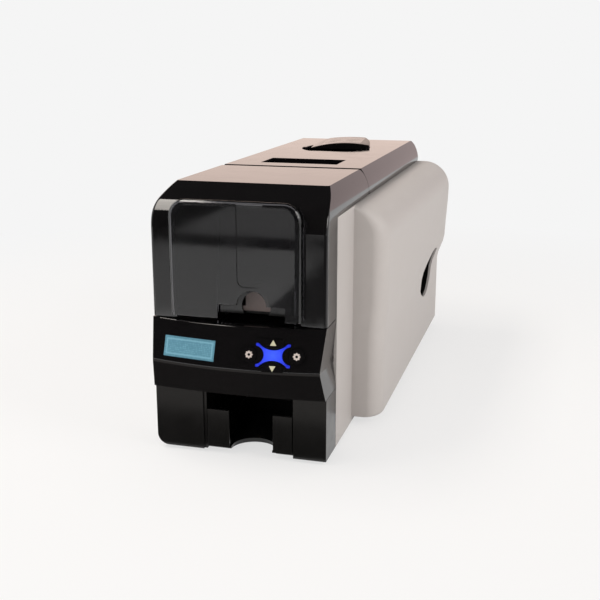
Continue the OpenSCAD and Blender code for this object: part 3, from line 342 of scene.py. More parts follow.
# Moulded ABS from a spark-eroded tool: warm light grey with a fine even grain.
# The real grain is about 0.15 mm, drawn coarser so that it shows
grained_abs = moulded("grained_grey_abs", ("#bbb7b5", "#c3bfbd"), (0.5, 0.62), 1.52, 0.7, 0.03)
# Moulded acetal of gears and guides: milky white and slightly waxy
acetal = moulded(
    "natural_acetal", ("#d9d6cb", "#e3e0d6"), (0.35, 0.45), 1.48, 0.8, 0.004,
    extra={"Subsurface Weight": 0.1, "Subsurface Radius": (0.004, 0.003, 0.002)},
)
# Acetal coloured pinkish grey
grey_acetal = moulded("grey_acetal", ("#6a605e", "#766b69"), (0.35, 0.45), 1.48, 0.8, 0.004)
# Moulded and ground rubber: dull black with a coarse tooth
rubber = moulded("moulded_rubber", ("#161617", "#222224"), (0.75, 0.9), 1.5, 0.5, 0.05)


def metal(name, colours, rough, stretch, grain, depth):
    """Bare metal with marks of its making; stretch draws the marks out along one axis"""
    material, tree = new_tree(name)
    place = node(tree, "TexCoord").outputs["Object"]
    turned = node(tree, "Mapping", {"Scale": stretch}, {"Vector": place})
    marks = node(
        tree, "TexNoise", {"Scale": 1000 / grain, "Detail": 5}, {"Vector": turned.outputs["Vector"]}
    )
    shade = node(
        tree, "Mix", {"A": linear(colours[0]), "B": linear(colours[1])}, {}, data_type="RGBA"
    )
    tree.links.new(marks.outputs["Fac"], shade.inputs["Factor"])
    gloss = node(
        tree, "MapRange", {"To Min": rough[0], "To Max": rough[1]}, {"Value": marks.outputs["Fac"]}
    )
    bump = node(
        tree, "Bump", {"Strength": 1, "Distance": depth * MM}, {"Height": marks.outputs["Fac"]}
    )
    surface = node(
        tree,
        "BsdfPrincipled",
        {"Metallic": 1},
        {
            "Base Color": shade.outputs["Result"],
            "Roughness": gloss.outputs["Result"],
            "Normal": bump.outputs["Normal"],
        },
    )
    node(tree, "OutputMaterial", {}, {"Surface": surface.outputs["BSDF"]})
    return material


# Rolled and zinc-plated sheet steel: pale, with the fine lines of the rolling
plated_steel = metal(
    "zinc_plated_steel", ("#a9abad", "#c4c5c8"), (0.3, 0.42), (1, 0.06, 1), 0.5, 0.002
)
# Ground steel of shafts and pins: brighter, with rings round the rod
ground_steel = metal(
    "ground_steel", ("#b4b5b8", "#d0d1d4"), (0.16, 0.24), (1, 0.1, 0.1), 0.3, 0.001
)
# Sintered bronze: brownish yellow with open pores
sintered_bronze = metal(
    "sintered_bronze", ("#8f6b37", "#b58d50"), (0.4, 0.55), (1, 1, 1), 0.4, 0.02
)
# Die-cast aluminium: grey with a cast skin
cast_alloy = metal(
    "cast_aluminium", ("#86888c", "#a3a5a8"), (0.4, 0.55), (1, 1, 1), 1.2, 0.02
)


def smoked_sheet():
    """Moulded smoked polycarbonate: polished, dark, and clear enough to see the hopper"""
    material, tree = new_tree("smoked_polycarbonate")
    place = node(tree, "TexCoord").outputs["Object"]
    smears = node(tree, "TexNoise", {"Scale": 30, "Detail": 4}, {"Vector": place})
    gloss = node(
        tree, "MapRange", {"To Min": 0.0, "To Max": 0.1}, {"Value": smears.outputs["Fac"]}
    )
    surface = node(
        tree,
        "BsdfPrincipled",
        {"Base Color": linear("#5d5c5f"), "IOR": 1.58, "Transmission Weight": 1},
        {"Roughness": gloss.outputs["Result"]},
    )
    node(tree, "OutputMaterial", {}, {"Surface": surface.outputs["BSDF"]})
    return material


smoked = smoked_sheet()


def lit(name, colours, strength, size, middle):
    """Clear plastic lit from behind: brightest in its middle"""
    material, tree = new_tree(name)
    place = node(tree, "TexCoord").outputs["Object"]
    away = node(tree, "VectorMath", {1: middle}, {0: place}, operation="DISTANCE")
    fade = node(
        tree,
        "MapRange",
        {"From Min": 0, "From Max": size * MM, "To Min": 0, "To Max": 1},
        {"Value": away.outputs["Value"]},
    )
    shade = node(
        tree, "Mix", {"A": linear(colours[0]), "B": linear(colours[1])}, {}, data_type="RGBA"
    )
    tree.links.new(fade.outputs["Result"], shade.inputs["Factor"])
    surface = node(
        tree,
        "BsdfPrincipled",
        {"Roughness": 0.25, "IOR": 1.49, "Emission Strength": strength},
        {"Base Color": shade.outputs["Result"], "Emission Color": shade.outputs["Result"]},
    )
    node(tree, "OutputMaterial", {}, {"Surface": surface.outputs["BSDF"]})
    return material


def display_glass():
    """Backlit display: pale grey-blue with rows of dots, and a paler border line under the glass.

    The dots are 0.5 mm in the real one, and drawn as 1.5 mm so that they show"""
    material, tree = new_tree("backlit_display_glass")
    place = node(tree, "TexCoord").outputs["Object"]
    level = node(
        tree, "Mapping", {"Location": DISPLAY.translation, "Rotation": DISPLAY.to_euler()},
        {"Vector": place}, vector_type="TEXTURE",
    )
    parts = node(tree, "SeparateXYZ", {}, {0: level.outputs[0]})
    far = []
    for axis, half in (("X", DISPLAY_W / 2 - 2.4), ("Y", DISPLAY_H / 2 - 2.4)):
        out = node(tree, "Math", {}, {0: parts.outputs[axis]}, operation="ABSOLUTE")
        far.append(node(tree, "Math", {1: half * MM}, {0: out.outputs[0]}, operation="SUBTRACT"))
    edge = node(tree, "Math", {}, {0: far[0].outputs[0], 1: far[1].outputs[0]}, operation="MAXIMUM")
    near = node(tree, "Math", {}, {0: edge.outputs[0]}, operation="ABSOLUTE")
    line = node(
        tree, "MapRange", {"From Min": 0.3 * MM, "From Max": 0.8 * MM, "To Min": 1, "To Max": 0},
        {"Value": near.outputs[0]},
    )
    dots = node(
        tree, "TexBrick",
        {"Color1": linear("#4d7788"), "Color2": linear("#5a8697"), "Mortar": linear("#47707f"),
         "Scale": 1000 / 1.5, "Mortar Size": 0.12, "Row Height": 1, "Brick Width": 1},
        {"Vector": level.outputs[0]}, offset=0,
    )
    shade = node(
        tree, "Mix", {"B": linear("#628e9e")}, {"Factor": line.outputs[0]}, data_type="RGBA"
    )
    tree.links.new(dots.outputs["Color"], shade.inputs["A"])
    surface = node(
        tree, "BsdfPrincipled", {"Roughness": 0.2, "IOR": 1.52, "Emission Strength": 0.45},
        {"Base Color": shade.outputs["Result"], "Emission Color": shade.outputs["Result"]},
    )
    node(tree, "OutputMaterial", {}, {"Surface": surface.outputs["BSDF"]})
    return material


def solder_masked(name):
    """Glass-epoxy board under green lacquer, with copper tracks that show through"""
    material, tree = new_tree(name)
    place = node(tree, "TexCoord").outputs["Object"]
    tracks = node(
        tree,
        "TexBrick",
        {
            "Color1": linear("#0b3a22"),
            "Color2": linear("#0e4529"),
            "Mortar": linear("#1d6b40"),
            "Scale": 1000 / 6,
            "Mortar Size": 0.06,
        },
        {"Vector": place},
    )
    surface = node(
        tree,
        "BsdfPrincipled",
        {"Roughness": 0.3, "IOR": 1.5},
        {"Base Color": tracks.outputs["Color"]},
    )
    node(tree, "OutputMaterial", {}, {"Surface": surface.outputs["BSDF"]})
    return material


circuit = solder_masked("green_circuit_board")


def wound_film(name):
    """Dye-coated polyester film: glossy, violet-brown, with the edges of its turns"""
    material, tree = new_tree(name)
    place = node(tree, "TexCoord").outputs["Object"]
    turns = node(
        tree, "TexNoise", {"Scale": 900, "Detail": 2}, {"Vector": place}
    )
    shade = node(
        tree, "Mix", {"A": linear("#2b1f3c"), "B": linear("#4a3346")}, {}, data_type="RGBA"
    )
    tree.links.new(turns.outputs["Fac"], shade.inputs["Factor"])
    surface = node(
        tree,
        "BsdfPrincipled",
        {"Roughness": 0.18, "IOR": 1.6},
        {"Base Color": shade.outputs["Result"]},
    )
    node(tree, "OutputMaterial", {}, {"Surface": surface.outputs["BSDF"]})
    return material


film = wound_film("dye_coated_film")

# ---- Door and top cover ---------------------------------------------------------------


def lofted(name, rows):
    """A closed body through rows of points, each row running once round it"""
    count = len(rows[0])
    deselect()
    bpy.ops.mesh.primitive_grid_add(x_subdivisions=count, y_subdivisions=len(rows) - 1, size=1)
    made = named(name)
    for index, vert in enumerate(made.data.vertices):
        vert.co = at(*rows[index // (count + 1)][index % (count + 1) % count])
    only(made)
    bpy.ops.object.mode_set(mode="EDIT")
    bpy.ops.mesh.select_all(action="SELECT")
    bpy.ops.mesh.remove_doubles(threshold=0.001 * MM)
    bpy.ops.mesh.fill_holes(sides=0)
    bpy.ops.mesh.select_all(action="SELECT")
    bpy.ops.mesh.normals_make_consistent(inside=False)
    leave()
    return made


ROUND_Z = TOP_Z - CREASE_D * math.tan(SLOPE) - FRONT_R * math.tan((math.pi / 2 - SLOPE) / 2)


def front_at(z, inset):
    """Distance of the front and its slope behind the front plane, at height z"""
    radius = FRONT_R - inset
    up = z - ROUND_Z
    if up <= 0:
        return inset
    if up < radius * math.cos(SLOPE):
        return FRONT_R - math.sqrt(radius * radius - up * up)
    return CREASE_D + (math.cos(SLOPE) * (z - TOP_Z) + inset) / math.sin(SLOPE)


def half_at(z, inset):
    """Half the casing's width at height z"""
    up = max(0, z - BEVEL_Z)
    return HALF_W - BEVEL_R + math.sqrt((BEVEL_R - inset) ** 2 - up * up)


def casing_form(name, inset, start, end, low, sloped):
    """The casing's solid with its rounded shoulders and flat top.

    inset makes it smaller all round"""
    top = TOP_Z - inset
    heights = [low, top]
    turn = math.asin((top - BEVEL_Z) / (BEVEL_R - inset))
    heights += [BEVEL_Z + (BEVEL_R - inset) * math.sin(turn * k / 20) for k in range(20)]
    if sloped:
        last = math.pi / 2 - SLOPE
        heights += [ROUND_Z + (FRONT_R - inset) * math.sin(last * k / 16) for k in range(17)]
    heights = sorted(z for z in heights if low <= z <= top)
    heights = [z for z, after in zip(heights, heights[1:] + [top + 9]) if after - z > 0.15]
    rows = []
    for z in heights:
        half = half_at(z, inset)
        front = front_at(z, inset) if sloped else start
        round_r = max(0.4, EDGE_ROUND - inset)
        corner = [(half, front)]
        if sloped:
            turns = [math.pi / 2 * k / 6 for k in range(7)]
            corner = [
                (half - round_r + round_r * math.cos(a), front + round_r - round_r * math.sin(a))
                for a in turns
            ]
        ring = [(half, end)] + corner + [(-x, d) for x, d in reversed(corner)] + [(-half, end)]
        rows.append([(x, d, z) for x, d in ring])
    return lofted(name, rows)


UNDERCUT = (0, 0.67, -0.74)


def round_about_pin(obj, pin_d, end):
    """Rounds the rear top edge about the hinge pin, so that it can turn past its neighbour"""
    slice_off(obj, at(0, end, PIN_Z - 12), UNDERCUT)
    corner = block("corner", (-90, 90), (pin_d, end + 5), (PIN_Z, TOP_Z + 5))
    carve(corner, rod("round", (-95, 95), pin_d, PIN_Z, EDGE_R, 64))
    return carve(obj, corner)


def knuckles(d):
    """Hinge knuckles under the top, with bores for the pins"""
    radius, bore_r = EDGE_R - WALL - 0.5, 2.05
    pieces = []
    for x in KNUCKLES_X:
        end = x + KNUCKLE_W
        made = rod("knuckle", (x, end), d, PIN_Z, radius)
        fuse(made, block("foot", (x, end), (d - radius, d), (PIN_Z, TOP_Z - WALL + 0.5)))
        pieces.append(carve(made, rod("bore", (x - 1, end + 1), d, PIN_Z, bore_r, 32)))
    return pieces


def window_opening():
    """The door's opening behind the window, open below"""
    low = SEAM_Z + SEAM / 2 - 5
    made = block("opening", (-OPENING_HW, OPENING_HW), (-5, CREASE_D - 4), (low, OPENING_TOP))
    bevel(made, lambda a, b, sides: abs(a.y - b.y) > 1e-3 and a.z > 0.2, 11, 10)
    return made


# An edge sharper than this, in degrees, is rounded: less than the crease of the slope
CREASE_ANGLE = 20


def make_door():
    low = SEAM_Z + SEAM / 2
    pin_d = DOOR_L - EDGE_R
    made = casing_form("door_shell", 0, 0, DOOR_L, low, True)
    carve(made, casing_form("hollow", WALL, WALL, DOOR_L + 20, low - 5, True))
    carve(made, block("below", (-90, 90), (STRIP_D, DOOR_L + 5), (low - 5, RAIL_Z + SEAM)))
    round_about_pin(made, pin_d, DOOR_L)
    carve(made, window_opening())
    soften(made, 0.4, CREASE_ANGLE)
    extras = knuckles(pin_d)
    for piece in extras:
        soften(piece, 0.2)
    made = joined("door_shell", made, *extras)
    dress(made, gloss_abs)
    return stand_for(made, "front_door", "door")


def make_window():
    """Smoked shell that bulges out of the door, cut away round the card slot"""
    shells = []
    for inset in (0, 2):
        half, top = WINDOW_HW - inset, WINDOW_TOP - inset
        low, out = SEAM_Z + 5 - 3 * inset, WINDOW_OUT - inset
        shell = block("shell", (-half, half), (-out, 30), (low, top + 6.5))
        slice_off(shell, at(0, -9, top), (0, math.sin(WINDOW_FALL), math.cos(WINDOW_FALL)))
        bevel(shell, lambda a, b, sides: abs(a.y - b.y) > 0.02 and a.z > 0.2, 15 - inset, 16)
        front, floor = (FRONT_Y - out) * MM + 1e-6, (low + 0.01) * MM
        bevel(
            shell,
            lambda a, b, sides: a.y < front and b.y < front and not (a.z < floor and b.z < floor),
            5 - inset,
            8,
        )
        shells.append(shell)
    made = carve(shells[0], shells[1])
    carve(made, casing_form("door_form", -0.05, -0.05, DOOR_L, 100, True))
    pocket_x = (SIGHT_X - SIGHT_HW, SIGHT_X + SIGHT_HW)
    pocket = block("pocket", pocket_x, (-WINDOW_OUT - 2, -WINDOW_OUT + 0.8), (SIGHT_LOW, 240))
    round_low = (SIGHT_LOW + 1) * MM
    bevel(pocket, lambda a, b, sides: abs(a.y - b.y) > 1e-3 and a.z < round_low, 6, 10)
    carve(made, pocket)
    carve(made, block("slot", (CARD_X - 25, CARD_X + 32), (-12, 3), (110, SLOT_TOP)))
    thumb = Matrix.Translation(at(CARD_X + 4, 0, SLOT_TOP)) @ Matrix.Rotation(math.pi / 2, 4, "X")
    carve(made, pin("thumb", thumb, (-4, 20), THUMB_R, 64))
    soften(made, 0.35)
    dress(made, smoked)
    return stand_for(made, "door_window", "door")


def make_cover():
    """Cover with hinge knuckles, the tub of the finger recess and the ears of the latch"""
    start = DOOR_L + SEAM
    pin_d = BODY_L - EDGE_R
    made = casing_form("cover_shell", 0, start, BODY_L, RAIL_Z + SEAM, False)
    carve(made, casing_form("hollow", WALL, start + WALL, BODY_L - WALL, 190, False))
    round_about_pin(made, pin_d, BODY_L)
    half, floor = RECESS_HW, TOP_Z - RECESS_H
    tub_front = RECESS_FRONT + 0.8
    tub_d, tub_z = (tub_front, RECESS_BACK + TUB_WALL), (floor - TUB_WALL, TOP_Z - 1)
    fuse(made, block("tub", (-half - TUB_WALL, half + TUB_WALL), tub_d, tub_z))
    recess_d = (RECESS_FRONT - 0.2, RECESS_BACK)
    carve(made, block("recess", (-half, half), recess_d, (floor, TOP_Z + 1)))
    # Room for the paddle in the tub's front wall and in its floor
    paddle, low = (-LATCH_HW - 0.5, LATCH_HW + 0.5), floor - TUB_WALL - 1
    carve(made, block("swing", paddle, (LATCH_D - 3, tub_front), (low, TOP_Z - WALL)))
    carve(made, block("swing", paddle, (LATCH_D, RECESS_FRONT + 5), (low, floor + 0.1)))
    carve(made, grip_outline("seat", TOP_Z - 10, TOP_Z + 5))
    soften(made, 0.4, CREASE_ANGLE)
    extras = knuckles(pin_d)
    for side in (-1, 1):
        near = side * (LATCH_HW + 1)
        ear = sorted((near, near + side * EAR_W))
        piece = block("ear", ear, (LATCH_D - 4, LATCH_D + 3), (LATCH_Z - 4, TOP_Z - 1))
        carve(piece, rod("bore", (ear[0] - 1, ear[1] + 1), LATCH_D, LATCH_Z, 1.55, 24))
        extras.append(piece)
    for piece in extras:
        soften(piece, 0.2)
    made = joined("cover_shell", made, *extras)
    dress(made, gloss_abs)
    return stand_for(made, "top_cover", "cover")


EYE_D, EYE_HW, EYE_FRONT, EYE_BACK = 336, 37, 46, 58


def grip_outline(name, low, high):
    """Upright body with the plan of the eye-shaped grip"""
    deselect()
    bpy.ops.mesh.primitive_cylinder_add(
        vertices=96, radius=1, depth=(high - low) * MM, location=at(0, EYE_D, (low + high) / 2)
    )
    made = named(name)
    middle = at(0, EYE_D, 0).y
    for vert in made.data.vertices:
        reach = EYE_BACK if vert.co.y > middle else EYE_FRONT
        vert.co.x *= EYE_HW * MM
        vert.co.y = middle + (vert.co.y - middle) * reach * MM
    return made


# ---- Control fascia -------------------------------------------------------------------

# Heights of the lip and of the fascia's low edge, and how far each stands out of the front plane
# in the middle and at the ends
LIP_Z, FASCIA_Z = 83, 57.5
LIP_OUT, SHELF_OUT, LOW_OUT = 20, 10, 8
LIP_END, LOW_END, LIP_IN = 11, 3, 3
# Middle of the keys, the radius of the round ones and how far they lie from the middle
KEYS_X, KEYS_Z = 34, 96.6
KEY_R, KEY_REACH, KEY_GAP = 6.5, 19.5, 0.35
DISPLAY_X, DISPLAY_W, DISPLAY_H = -38.5, 46.5, 17
# Half sizes of the light, and the hollows that make it an X: radius and place of their centres
LIGHT_HW, LIGHT_HH = 14, 9.5
HOLLOW_TOP_R, HOLLOW_TOP_Y, HOLLOW_SIDE_R, HOLLOW_SIDE_X = 15.8, 20, 7.5, 15


def fascia_at(x, z):
    """Half width and distance in front of the front plane, at height z"""
    if z > LIP_Z:
        t = (z - LIP_Z) / (SEAM_Z - LIP_Z)
        half, mid = HALF_W - LIP_IN * (1 - t), LIP_OUT + (SHELF_OUT - LIP_OUT) * t
        end = LIP_END * (1 - t)
    else:
        t = (LIP_Z - z) / (LIP_Z - FASCIA_Z)
        half, mid = HALF_W - LIP_IN * (1 - t), LIP_OUT + (LOW_OUT - LIP_OUT) * t
        end = LIP_END + (LOW_END - LIP_END) * t
    return half, mid + (end - mid) * (x / half) ** 2


PANEL_TILT = math.atan((LIP_OUT - SHELF_OUT) / (SEAM_Z - LIP_Z))


def on_panel(x, yaw):
    """The frame of something on the sloping panel: x to the right, z out of its face"""
    return (
        Matrix.Translation(at(x, -fascia_at(x, KEYS_Z)[1], KEYS_Z))
        @ Matrix.Rotation(math.radians(yaw), 4, "Z")
        @ Matrix.Rotation(math.pi / 2 - PANEL_TILT, 4, "X")
    )


KEYS = on_panel(KEYS_X, 6)
DISPLAY = on_panel(DISPLAY_X, -7)


def fascia_form(name, inset, back):
    """A block whose front is bowed out, from three rows of points"""
    top, low = SEAM_Z - SEAM / 2 - inset, FASCIA_Z + inset
    made = block(name, (-1, 1), (0, back), (low, top))
    columns = 40
    slices = [LIP_Z] + [LIP_Z + (top - LIP_Z) * k / 4 for k in (1, 2, 3)]
    for z in slices:
        select_in(made, "VERT", lambda co: True)
        bpy.ops.mesh.bisect(plane_co=at(0, 0, z), plane_no=(0, 0, 1))
        leave()
    for k in range(1, columns):
        select_in(made, "VERT", lambda co: True)
        bpy.ops.mesh.bisect(plane_co=at(-1 + 2 * k / columns, 0, 0), plane_no=(1, 0, 0))
        leave()
    front = (FRONT_Y + 0.01) * MM
    for vert in made.data.vertices:
        share = vert.co.x / MM
        z = vert.co.z / MM
        half = fascia_at(0, z)[0] - inset
        vert.co.x = share * half * MM
        if vert.co.y < front:
            vert.co.y = (FRONT_Y - fascia_at(share * half, z)[1] + inset) * MM
    return made


def by_keys(x, y):
    """The frame of the keys, moved to x, y on the panel"""
    return KEYS @ Matrix.Translation((x * MM, y * MM, 0))


def light_gap(gap, z):
    """Opening for the X-shaped light: a block with four hollows"""
    half, high, over = LIGHT_HW + gap, LIGHT_HH + gap, (z[0] - 1, z[1] + 1)
    made = tile("gap", KEYS, (-half, half), (-high, high), z)
    for side in (-1, 1):
        above, beside = by_keys(0, side * HOLLOW_TOP_Y), by_keys(side * HOLLOW_SIDE_X, 0)
        carve(made, pin("hollow", above, over, HOLLOW_TOP_R - gap, 96))
        carve(made, pin("hollow", beside, over, HOLLOW_SIDE_R - gap, 64))
    return made


def arrow_gap(side, gap, z):
    """Opening for the upper or lower key, whose inner edge is round"""
    y = sorted((0, side * (13.2 + gap)))
    made = tile("gap", KEYS, (-8.5 - gap, 8.5 + gap), y, z)
    over = (z[0] - 1, z[1] + 1)
    disc = pin("disc", by_keys(0, side * HOLLOW_TOP_Y), over, HOLLOW_TOP_R - 1.3 + gap, 96)
    return combine(made, disc, "INTERSECT")


# The caps stand CAP_Z out of the panel, and the printed marks lie on them
CAP_Z = 0.6
MARK_Z = (CAP_Z - 0.05, CAP_Z + 0.06)


def arrow_mark(name, body, side, y):
    """The printed triangle of the upper or lower key"""
    place = by_keys(0, y) @ Matrix.Rotation(math.pi / 2 * (1 - side), 4, "Z")
    return mark_on(pin(name, place, MARK_Z, 3.1, 3), body, cream_ink)


def ring_mark(name, body, side):
    """The printed ring of a round key, with eight short rays"""
    place = by_keys(side * KEY_REACH, 0)
    made = pin(name, place, MARK_Z, 3.4, 16)
    back = place.inverted()
    for index, vert in enumerate(made.data.vertices):
        spot = back @ vert.co
        turn = round(math.degrees(math.atan2(spot.y, spot.x)) / 22.5)
        if turn % 2:
            spot.x *= 0.72
            spot.y *= 0.72
            vert.co = place @ spot
    carve(made, pin("centre", place, (MARK_Z[0] - 1, MARK_Z[1] + 1), 1.1, 24))
    return mark_on(made, body, pale_ink)


def mark_on(obj, body, ink):
    dress(obj, ink)
    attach(obj, body)
    return obj


def keypad_groove():
    """The fine groove round the keys"""
    outer = tile("groove", KEYS, (-31, 31), (-14.6, 14.6), (-0.35, 4))
    inner = tile("island", KEYS, (-30.4, 30.4), (-14.0, 14.0), (-1, 5))
    upright = KEYS.to_3x3() @ Vector((0, 0, 1))
    for piece, radius in ((outer, 5), (inner, 4.4)):
        bevel(piece, lambda a, b, sides: abs((a - b).normalized().dot(upright)) > 0.99, radius, 8)
    return carve(outer, inner)


def make_fascia():
    """Bowed panel with its lip, and openings for the display, the light and the keys"""
    made = fascia_form("fascia_shell", 0, STRIP_D)
    lip, top, front = LIP_Z * MM, (SEAM_Z - SEAM / 2) * MM - 1e-6, (FRONT_Y - 1) * MM
    bevel(
        made,
        lambda a, b, sides: abs(a.z - lip) < 1e-6 and abs(b.z - lip) < 1e-6
        and a.y < front and b.y < front and abs(a.x - b.x) > 1e-6,
        2.2,
        5,
    )
    bevel(
        made,
        lambda a, b, sides: a.z > top and b.z > top and a.y < front and b.y < front,
        1.1,
        4,
    )
    carve(made, fascia_form("hollow", WALL, STRIP_D + 5))
    carve(made, keypad_groove())
    deep = (-6, 8)
    carve(made, light_gap(0.15, deep))
    for side in (-1, 1):
        carve(made, arrow_gap(side, KEY_GAP, deep))
        carve(made, pin("gap", by_keys(side * KEY_REACH, 0), deep, KEY_R + KEY_GAP, 64))
    half, high = DISPLAY_W / 2 + 0.2, DISPLAY_H / 2 + 0.2
    carve(made, tile("gap", DISPLAY, (-half, half), (-high, high), deep))
    soften(made, 0.35)
    dress(made, gloss_abs)
    return stand_for(made, "control_fascia", "chassis")


# ---- Side panels ----------------------------------------------------------------------

# The bulge starts at BULGE_D with a round step, and its half width grows from the waist up
BULGE_D, BULGE_ROUND, BULGE_STEP = 95, 18, 13.5
BULGE_LOW, BULGE_FRONT, BULGE_FULL = 102, 105, 113
BULGE_Z, WAIST_Z, SHOULDER_R = 8, 91, 30
SKIN_X = 69
EYE_PLACE = (360, 89.5)


def eased(t):
    """0 to 1 with soft ends"""
    t = min(1, max(0, t))
    return t * t * (3 - 2 * t)


def bulge_outline(half, top_half, inset):
    """Section of the bulge as points (x, z), from its lower inner corner up and over"""
    flare = top_half - half
    low = BULGE_Z + inset
    points = [(SKIN_X, low)]
    for k in range(7):
        a = -math.pi / 2 + math.pi / 2 * k / 6
        points.append((half - inset - 4 + 4 * math.cos(a), low + 4 + 4 * math.sin(a)))
    turn = RAIL_Z - SHOULDER_R
    steps = 22
    for k in range(1, steps):
        z = low + 4 + (turn - low - 4) * k / steps
        out = 0.72 * eased((z - WAIST_Z + 6) / 30) + 0.28 * eased((z - WAIST_Z - 14) / 70)
        points.append((half + flare * out - inset, z))
    centre = top_half - SHOULDER_R
    radius = SHOULDER_R - inset
    last = math.pi / 2 if centre >= SKIN_X else math.acos(min(1, (SKIN_X - centre) / radius))
    for k in range(15):
        a = last * k / 14
        points.append((centre + radius * math.cos(a), turn + radius * math.sin(a)))
    points.append((SKIN_X, points[-1][1]))
    return points


def bulge_form(name, inset, end):
    """The bulge of one side, lofted from its step to the rear"""
    rows = []
    for k in range(13):
        t = math.pi / 2 * k / 12
        back = BULGE_STEP * (1 - math.sin(t))
        start = BULGE_D + BULGE_ROUND * (1 - math.cos(t))
        rows.append((start, BULGE_LOW - back, BULGE_FRONT - back))
    first = BULGE_D + BULGE_ROUND
    for k in range(1, 17):
        t = k / 16
        half = BULGE_FRONT + (BULGE_FULL - BULGE_FRONT) * t
        rows.append((first + (BODY_L - first) * t, BULGE_LOW, half))
    outlines = []
    for d, half, top_half in rows:
        outlines.append((d + inset, bulge_outline(half, top_half, inset)))
    if end > BODY_L:
        outlines.append((end, outlines[-1][1]))
    return lofted(name, [[(x, d, z) for x, z in outline] for d, outline in outlines])


def leaf_form(name, x):
    """The leaf-shaped opening of the side grip, as a body along x"""
    half, up, down, tilt = 45, 17, 27, math.radians(21)
    points = []
    for reach, sign in ((up, 1), (down, -1)):
        radius = (half * half + reach * reach) / (2 * reach)
        span = math.asin(half / radius)
        for k in range(40):
            a = sign * (span - 2 * span * k / 40)
            points.append((radius * math.sin(a), sign * (radius * math.cos(a) - radius + reach)))
    deselect()
    bpy.ops.mesh.primitive_circle_add(vertices=len(points), fill_type="NGON")
    made = named(name)
    for vert, (u, v) in zip(made.data.vertices, points):
        d = EYE_PLACE[0] + u * math.cos(tilt) - v * math.sin(tilt)
        z = EYE_PLACE[1] + u * math.sin(tilt) + v * math.cos(tilt)
        vert.co = at(x[0], d, z)
    select_in(made, "FACE", lambda centre, normal: True)
    bpy.ops.mesh.extrude_region_move(TRANSFORM_OT_translate={"value": ((x[1] - x[0]) * MM, 0, 0)})
    bpy.ops.mesh.select_all(action="SELECT")
    bpy.ops.mesh.normals_make_consistent(inside=False)
    leave()
    return made


def mirrored(obj, name):
    """The same piece for the other side"""
    made = copy_of(obj, name)
    for vert in made.data.vertices:
        vert.co.x = -vert.co.x
    only(made)
    bpy.ops.object.mode_set(mode="EDIT")
    bpy.ops.mesh.select_all(action="SELECT")
    bpy.ops.mesh.flip_normals()
    leave()
    return smooth(made)


def make_side_panels():
    """Right side panel with its bulge and grip opening, and the left one as its mirror image"""
    made = block("right_skin", (HALF_W - WALL, HALF_W), (STRIP_D + SEAM, BODY_L), (LOW_Z, RAIL_Z))
    fuse(made, bulge_form("bulge", 0, BODY_L))
    carve(made, bulge_form("hollow", WALL, BODY_L + 5))
    carve(made, block("inside", (0, HALF_W - WALL), (0, BODY_L + 5), (0, 230)))
    carve(made, leaf_form("grip_opening", (80, 130)))
    soften(made, 0.6)
    dress(made, grained_abs)
    other = mirrored(made, "left_skin")
    stand_for(made, "right_side_panel", "chassis")
    stand_for(other, "left_side_panel", "chassis")


# ---- All the pieces -------------------------------------------------------------------

make_door()
make_window()
make_cover()
make_fascia()
make_side_panels()
refined("top_grip", "grip_shell", 0.4, "cover", gloss_abs)
refined("lower_front", "front_blocks", 0.7, "chassis", satin_abs)
refined("output_tray", "card_tray", 0.5, "tray", satin_abs)
refined("grip_cups", "side_grip_cups", 0.4, "chassis", satin_abs)
refined("rear_panel", "rear_plate", 0.3, "chassis", grained_abs)
for key in ("up", "down", "left", "right"):
    refined(key + "_button", key + "_key_cap", 0.3, key + "_key", gloss_abs)

cream_ink = moulded("cream_pad_print", ("#b9b89c", "#c6c5aa"), (0.4, 0.5), 1.5, 0.6, 0.002)
pale_ink = moulded("pale_pad_print", ("#b8aea8", "#c8beb8"), (0.4, 0.5), 1.5, 0.6, 0.002)
arrow_mark("up_mark", "up_key", 1, 9.4)
arrow_mark("down_mark", "down_key", -1, -10.0)
ring_mark("left_mark", "left_key", -1)
ring_mark("right_mark", "right_key", 1)

blue_light = lit("blue_lit_acrylic", ("#3050f4", "#1626b4"), 0.45, 13, KEYS.translation)
lcd = display_glass()
refined("light_guide", "light_cross", 0.3, "chassis", blue_light)
refined("display_module", "display_glass", 0.2, "chassis", lcd)

# CAD nodes that are shown as they are, by finish
finishes = {
    satin_abs: "base_pan centre_bridge cover_latch card_hopper power_inlet",
    gloss_abs: "power_switch",
    grey_acetal: "card_weight",
    acetal: "card_guide pick_gear feed_gear platen_gear exit_gear front_idler "
    "middle_idler exit_idler ribbon_cartridge",
    plated_steel: "left_frame right_frame frame_spacers drive_motor power_supply data_port",
    ground_steel: "door_hinge_pins cover_hinge_pins pick_shaft feed_shaft platen_shaft exit_shaft "
    "idler_studs motor_pinion casing_screws",
    rubber: "pick_roller feed_roller platen_roller exit_roller feet",
    sintered_bronze: "shaft_bushes",
    cast_alloy: "printhead",
    film: "supply_spool takeup_spool ribbon_film",
    circuit: "control_board main_board",
}
for material, names in finishes.items():
    for name in names.split():
        dress(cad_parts[name], material)

# ---- Studio ---------------------------------------------------------------------------

deselect()
# Fitted to the photo by the straight edges of the casing
bpy.ops.object.camera_add(
    location=(0.25461, -0.93454, 0.33643), rotation=(math.radians(75.323), 0, math.radians(15.6555))
)
camera = bpy.context.object
camera.data.lens = 58.18
camera.data.sensor_width = 36
bpy.context.scene.camera = camera
bpy.context.scene.view_settings.view_transform = "Standard"

BACKGROUND = linear("#f5f5f5")


def ray_share(tree):
    """1 for rays that see the background: from the camera, or off gloss and through glass"""
    path = node(tree, "LightPath")
    seen = node(
        tree, "Math", {}, {0: path.outputs["Is Camera Ray"], 1: path.outputs["Is Glossy Ray"]},
        operation="MAXIMUM",
    )
    return node(
        tree, "Math", {}, {0: seen.outputs["Value"], 1: path.outputs["Is Transmission Ray"]},
        operation="MAXIMUM",
    ).outputs["Value"]


